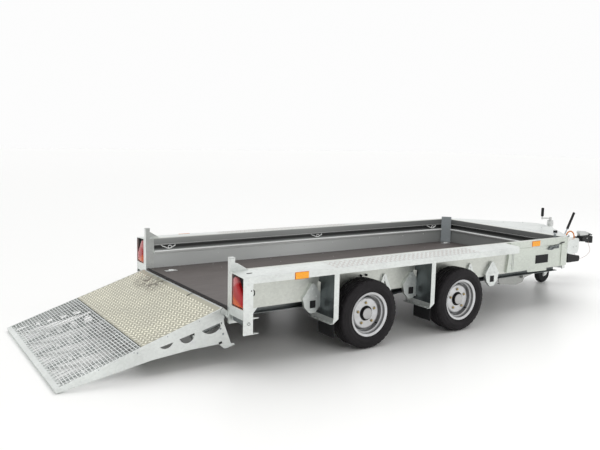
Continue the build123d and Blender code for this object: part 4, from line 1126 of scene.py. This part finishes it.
def add_u_bolts(bolts, x, side):
    """Two U bolts hold each spring on its axle, with a plate and nuts below."""
    middle = side * SPRING_Y
    ends = (middle - U_BOLT_HALF, middle + U_BOLT_HALF)
    for end in (-33, 33):
        path = [(x + end, ends[0], U_BOLT_LOW)]
        for index in range(9):
            angle = math.pi * index / 8
            y = middle - U_BOLT_HALF * math.cos(angle)
            path.append((x + end, y, U_BOLT_Z + 8 * math.sin(angle)))
        bolts.tube([*path, (x + end, ends[1], U_BOLT_LOW)], 5, 8)
        for y in ends:
            bolts.turned([(9, 231), (9, 238)], (x + end, y, 0), "Z", 6)
    bolts.block(x - 48, x + 48, middle - 42, middle + 42, 232, 238.2)


FOLD_LINES = (830, 985)
REFLECTORS = [(458, SHELF_OUTER, 624.5), (3200, PANEL_OUTER, 630)]
REFLECTOR_FRAME = [
    # (x0, x1, z0, z1) of the frame's bars about the reflector's middle
    (-56, 56, 22.4, 25), (-56, 56, -25, -22.4), (-56, -53.4, -22, 22), (53.4, 56, -22, 22),
]


def add_shelf_details():
    """Folds and pressed lines along the shelves, and the reflectors' frames."""
    lines, frames = Shape(), Shape()
    for side in SIDES.values():
        for y in FOLD_LINES:
            z = shelf_level(y)
            lines.block(90, 2700, side * (y - 2), side * (y + 2), z - 1, z + 1.1)
        for x in (110, 2745):
            lines.rivet((x, side * 900, 652.8), "Z", 1, 5)
        for x, y, z in REFLECTORS:
            low, high = side * (y - 1), side * (y + 3.5)
            for x0, x1, z0, z1 in REFLECTOR_FRAME:
                frames.block(x + x0, x + x1, low, high, z + z0, z + z1)
    lines.piece("shelf_folds", "zinc_bright", bevel=0.4)
    frames.piece("reflector_frames", "orange_plastic")


# Front panels and nose

PANEL_FACE = PANEL_OUTER - 6
LABEL_X, LABEL_Z = (3212, 3398), (436, 516)
PANEL_FOLDS = (2880, 2900)
PANEL_BOLTS = [(2862, 420), (2862, 470), (2862, 570), (3660, 420), (3660, 560), (3130, 410)]
HASP_PLATES = [
    # (x0, x1, z0, z1) of the latch's plates
    (3392, 3470, 556, 588),
    (3476, 3552, 562, 592),
]
HASP_RINGS = [
    # (x, z, radius, stretch) of the latch's links
    (3432, 572, 16, 1.7),
    (3512, 578, 13, 1.9),
]
HASP_BAR = [(3380, 8, 562), (3420, 14, 585), (3500, 14, 590), (3560, 8, 604)]
LATCH_GRIP = [(3560, 9, 604), (3590, 12, 614), (3622, 9, 616)]
DECK_BOLTS = [(4033, -257), (4228, -150), (4033, 257), (4228, 150)]


def add_front_details():
    folds, bolts, blank, hasps, latches = (Shape() for _ in range(5))
    for side in SIDES.values():
        face = side * PANEL_FACE
        blank.block(*LABEL_X, face, face + side * 0.9, *LABEL_Z)
        for x in PANEL_FOLDS:
            folds.block(x, x + 5, face, face + side * 3, 400, 585)
        for x, z in PANEL_BOLTS:
            bolts.bolt((x, face, z), "Y", side, 8, 5)
        for x0, x1, z0, z1 in HASP_PLATES:
            hasps.block(x0, x1, face, face + side * 5, z0, z1)
        for x, z, radius, stretch in HASP_RINGS:
            hasps.ring((x, face + side * 8, z), "Y", radius, 4, stretch=stretch)
        hasps.tube([(x, face + side * out, z) for x, out, z in HASP_BAR], 5, 8)
        latches.tube([(x, face + side * out, z) for x, out, z in LATCH_GRIP], 5.5, 8)
    latches.block(3834, 3874, -568, -546, SIDE_TOP - 1, SIDE_TOP + 22)
    for x, y in DECK_BOLTS:
        bolts.bolt((x, y, SIDE_TOP), "Z", 1, 10, 8)
    folds.piece("panel_folds", "zinc_outer", bevel=1.0)
    bolts.piece("panel_bolts", "zinc_bright")
    blank.piece("blank_labels", "blank_plate")
    hasps.piece("panel_hasps", "zinc_dark", bevel=0.8)
    latches.piece("panel_latches", "black_plastic", bevel=1.0)


DECK_EDGE = [(3686, 779), (3780, 744), (4110, 359), (4330, 60)]


def add_deck_rim():
    """The deck's folded upper edge and its cross fold."""
    shape = Shape()
    top = SIDE_TOP - 0.5
    for side in SIDES.values():
        shape.tube([(x, side * (y - 7), top) for x, y in DECK_EDGE], 3.4)
    shape.tube([(4326, -58, top), (4326, 58, top)], 3.4)
    shape.tube([(3790, -700, top), (3790, 700, top)], 2.6)
    shape.piece("deck_rim", "zinc_bright")


# Coupling, jockey wheel and cable

GAITER = (HEAD_FRONT + 4, HEAD_FRONT + 92)
GAITER_FOLDS = 8
SHAFT_Z = 434
COUPLING_BOLTS = (NOSE_X - 220, NOSE_X - 130)
HEAD_BOLTS = [(4790, 136), (4880, 112)]
YOKE_HANDLE = [(-90, -20, 470), (-60, -32, 486), (-30, -30, 478)]


def add_coupling_details():
    gaiter, steel, iron = (Shape() for _ in range(3))
    start, end = GAITER
    step = (end - start) / GAITER_FOLDS
    profile = [(22, HEAD_FRONT + 3)]
    for index in range(GAITER_FOLDS):
        x = start + (end - start) * index / GAITER_FOLDS
        profile += [(27, x), (37 - index * 0.8, x + step * 0.5), (27, x + step * 0.95)]
    profile.append((22.2, end))
    gaiter.turned(profile, (0, 0, SHAFT_Z), "X", 28)
    gaiter.piece("shaft_gaiter", "rubber", crease=70)
    steel.turned([(12, 474), (12, 482), (9, 486)], (NOSE_X - 150, 0, 0), "Z", 16)
    for x in COUPLING_BOLTS:
        for side in SIDES.values():
            steel.bolt((x, side * 31, 440), "Y", side, 9, 7)
    for side in SIDES.values():
        for x, y in HEAD_BOLTS:
            steel.bolt((x, side * y, 380), "Y", side, 9, 6)
    steel.piece("coupling_bolts", "plated_steel")
    iron.block(NOSE_X - 228, NOSE_X - 176, -38, 38, 408, 470)
    iron.tube([(NOSE_X + x, y, z) for x, y, z in YOKE_HANDLE], 6)
    iron.piece("coupling_yoke", "black_casting", bevel=3)


COLLARS = [
    # (radius, height) round the clamp's collar and the cap over the jockey wheel's tube
    [(30.2, 640), (33, 640), (35, 643), (35, 676), (33, 680), (30.2, 680)],
    [(30.2, 684), (33.5, 684), (33.5, 697), (20, 704), (14.6, 706), (14.6, 703), (19, 701),
     (30.2, 695)],
]
CLAMP_BARS = [
    # (start, end, radius) of the clamp's screw and its handle, beside the tube
    ((30, -40, 380), (30, -84, 380), 6),
    ((30, -80, 352), (30, -80, 408), 5),
]
GRIP = [(9, 0), (15.5, 4), (15.5, 88), (12, 95)]
DISC = [(12, 12), (14, 30.4), (30, 30.4), (35, 17), (60, 17), (64, 12)]


def add_jockey_details():
    steel, black, disc, nuts = (Shape() for _ in range(4))
    for profile in COLLARS:
        steel.turned(profile, (JOCKEY_X, JOCKEY_Y, 0), "Z", 28, closed=True)
    for start, end, radius in CLAMP_BARS:
        path = [(JOCKEY_X + x, JOCKEY_Y + y, z) for x, y, z in (start, end)]
        steel.tube(path, radius, 10)
    steel.piece("jockey_collars", "plated_steel")
    black.turned(GRIP, (JOCKEY_X - 80, JOCKEY_Y + 50, 743), "Z", 20)
    black.piece("jockey_grip_sleeve", "black_plastic")
    x = (JOINTS["jockey_roll"]["pos_m"][0] - bed_rear) / MM
    for side in SIDES.values():
        profile = [(radius, side * out) for radius, out in DISC]
        disc.turned(profile, (x, JOCKEY_Y, JOCKEY_AXLE_Z), "Y", 36)
        nuts.bolt((x, JOCKEY_Y + side * 41, JOCKEY_AXLE_Z), "Y", side, 11, 8)
    disc.piece("jockey_disc", "hub_cap", "jockey_wheel")
    nuts.piece("jockey_axle_nuts", "plated_steel", "jockey_fork")


LEVER_X, LEVER_Z = 4765, 470


def add_lever_details():
    """The handbrake's ratchet: a ring, a rod and a row of teeth."""
    shape = Shape()
    shape.ring((LEVER_X, -68, LEVER_Z + 12), "Y", 12, 3)
    shape.tube([(LEVER_X - 30, -70, LEVER_Z + 4), (LEVER_X + 35, -70, LEVER_Z + 30)], 5)
    for index in range(6):
        angle = math.radians(40 + index * 12)
        tooth = []
        for reach in (40, 48):
            x, z = polar(reach, angle)
            tooth.append((LEVER_X + x, -66, LEVER_Z + z))
        shape.tube(tooth, 2.4, 6)
    shape.piece("lever_ratchet", "zinc_dark")


CHOCK_OUTLINE = [
    # (x, z) round the moulded wheel chock, as it hangs beside the drawbar
    (4431, 264), (4438, 257), (4632, 257), (4646, 266), (4650, 284), (4648, 308), (4636, 322),
    (4560, 331), (4436, 359), (4431, 352),
]
CHOCK_Y = (-321, -247)
CHOCK_RIBS = (4462, 4498, 4534, 4570, 4606)


def add_chock():
    shape = Shape()
    shape.prism(CHOCK_OUTLINE, "Y", *CHOCK_Y)
    for x in CHOCK_RIBS:
        shape.block(x, x + 10, CHOCK_Y[0] - 1, CHOCK_Y[0] + 1, 268, 318)
    piece = shape.piece("chock_moulding", "black_plastic", bevel=2.0)
    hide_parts("wheel_chock")


CABLE_ROUTE = [
    # (distance back from the nose, y, z) of the thin cable that hangs below the coupling
    (78, -20, 394), (78, -20, 358), (56, -30, 322), (62, -38, 284), (96, -44, 256),
    (142, -47, 235), (193, -49, 219), (246, -50, 209), (299, -51, 211), (345, -52, 226),
    (378, -52, 254), (378, -52, 290),
]
CABLE_RADIUS = 2


def add_cable():
    curve = bpy.data.curves.new("breakaway_cable_line", "CURVE")
    curve.dimensions = "3D"
    curve.bevel_depth = CABLE_RADIUS * MM
    curve.bevel_resolution = 3
    curve.resolution_u = 12
    spline = curve.splines.new("NURBS")
    route = [BED @ Vector((NOSE_X - back, y, z)) for back, y, z in CABLE_ROUTE]
    spline.points.add(len(route) - 1)
    for point, place in zip(spline.points, route):
        point.co = (*place, 1)
    spline.order_u = 3
    spline.use_endpoint_u = True
    curve.materials.append(MATERIALS["cable_sheath"])
    cable = add_object("breakaway_cable_line", curve)
    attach(cable, "root")
    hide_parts("breakaway_cable")


# Camera, solved from the photograph, in metres from the load floor's rear edge

CAMERA_BED = (-2.0853, -4.8246, 1.5774)
CAMERA_YAW = 33.398
CAMERA_PITCH = 7.483
CAMERA_ROLL = 1.243
CAMERA_LENS = 40.48
SENSOR_WIDTH = 36.0


def make_camera():
    data = bpy.data.cameras.new("camera")
    data.lens = CAMERA_LENS
    data.sensor_width = SENSOR_WIDTH
    camera = add_object("camera", data)
    camera.location = (CAMERA_BED[0] + bed_rear, CAMERA_BED[1], CAMERA_BED[2])
    turn = Matrix.Rotation(math.radians(-CAMERA_YAW), 4, "Z")
    tilt = Matrix.Rotation(math.radians(90 - CAMERA_PITCH), 4, "X")
    roll = Matrix.Rotation(math.radians(CAMERA_ROLL), 4, "Z")
    camera.rotation_euler = (turn @ tilt @ roll).to_euler()
    bpy.context.scene.camera = camera


# Stage and light

FLOOR_REACH = 60.0
FLOOR_COLOUR = (0.93, 0.93, 0.92)
AMBIENT = 0.44
SKY = 0.98
SUN_STRENGTH = 1.85
SUN_SOFTNESS = 75
SUN_PLACE = (1.2, 3.0, 10.0)
AIM = Vector((0, 0, 0.4))
SOFTBOX_SIZE = 4.0
SOFTBOXES = [
    # (place, power, colour)
    ((-1.5, -7.0, 4.5), 90, (1.0, 0.99, 0.97)),
    ((7.5, -3.0, 5.0), 70, (0.97, 0.98, 1.0)),
]


def make_world():
    """A white studio: full strength where it is seen or mirrored, softer where it only lights."""
    world = bpy.data.worlds.new("world")
    world.use_nodes = True
    tree = world.node_tree
    diffuse = add_node(tree, "LightPath", "Is Diffuse Ray")
    strength = spread(tree, diffuse, SKY, AMBIENT)
    feed(tree.nodes["Background"], Color=WHITE, Strength=strength)
    bpy.context.scene.world = world


def add_light(name, kind, place, strength):
    """A light aimed at the trailer, which shows in no reflection."""
    light = bpy.data.lights.new(name, kind)
    light.energy = strength
    lamp = add_object(name, light)
    lamp.visible_glossy = False
    lamp.location = place
    aim = AIM - Vector(place)
    lamp.rotation_euler = aim.to_track_quat("-Z", "Y").to_euler()
    return light


def make_stage():
    mesh = bpy.data.meshes.new("floor")
    corners = ((-1, -1), (1, -1), (1, 1), (-1, 1))
    points = [(x * FLOOR_REACH, y * FLOOR_REACH, 0) for x, y in corners]
    mesh.from_pydata(points, [], [(0, 1, 2, 3)])
    floor = add_object("floor", mesh)
    new_material("floor", FLOOR_COLOUR, 0.32, specular=0.35)
    mesh.materials.append(MATERIALS["floor"])

    make_world()
    add_light("sun", "SUN", SUN_PLACE, SUN_STRENGTH).angle = math.radians(SUN_SOFTNESS)
    for place, power, colour in SOFTBOXES:
        light = add_light("softbox", "AREA", place, power)
        light.size = SOFTBOX_SIZE
        light.color = colour
    bpy.context.scene.view_settings.view_transform = "Standard"


make_materials()
dress_nodes()
for place in AXLES:
    for side in SIDES:
        add_tyre(place, side)
        add_wheel_trim(place, side)
add_tread_studs()
add_shelf_studs()
add_ramp_details()
add_posts()
add_lamp_domes()
add_ledge_edges()
add_bed_details()
add_side_details()
add_shelf_details()
add_front_details()
add_deck_rim()
add_coupling_details()
add_jockey_details()
add_lever_details()
add_chock()
add_cable()
make_camera()
make_stage()
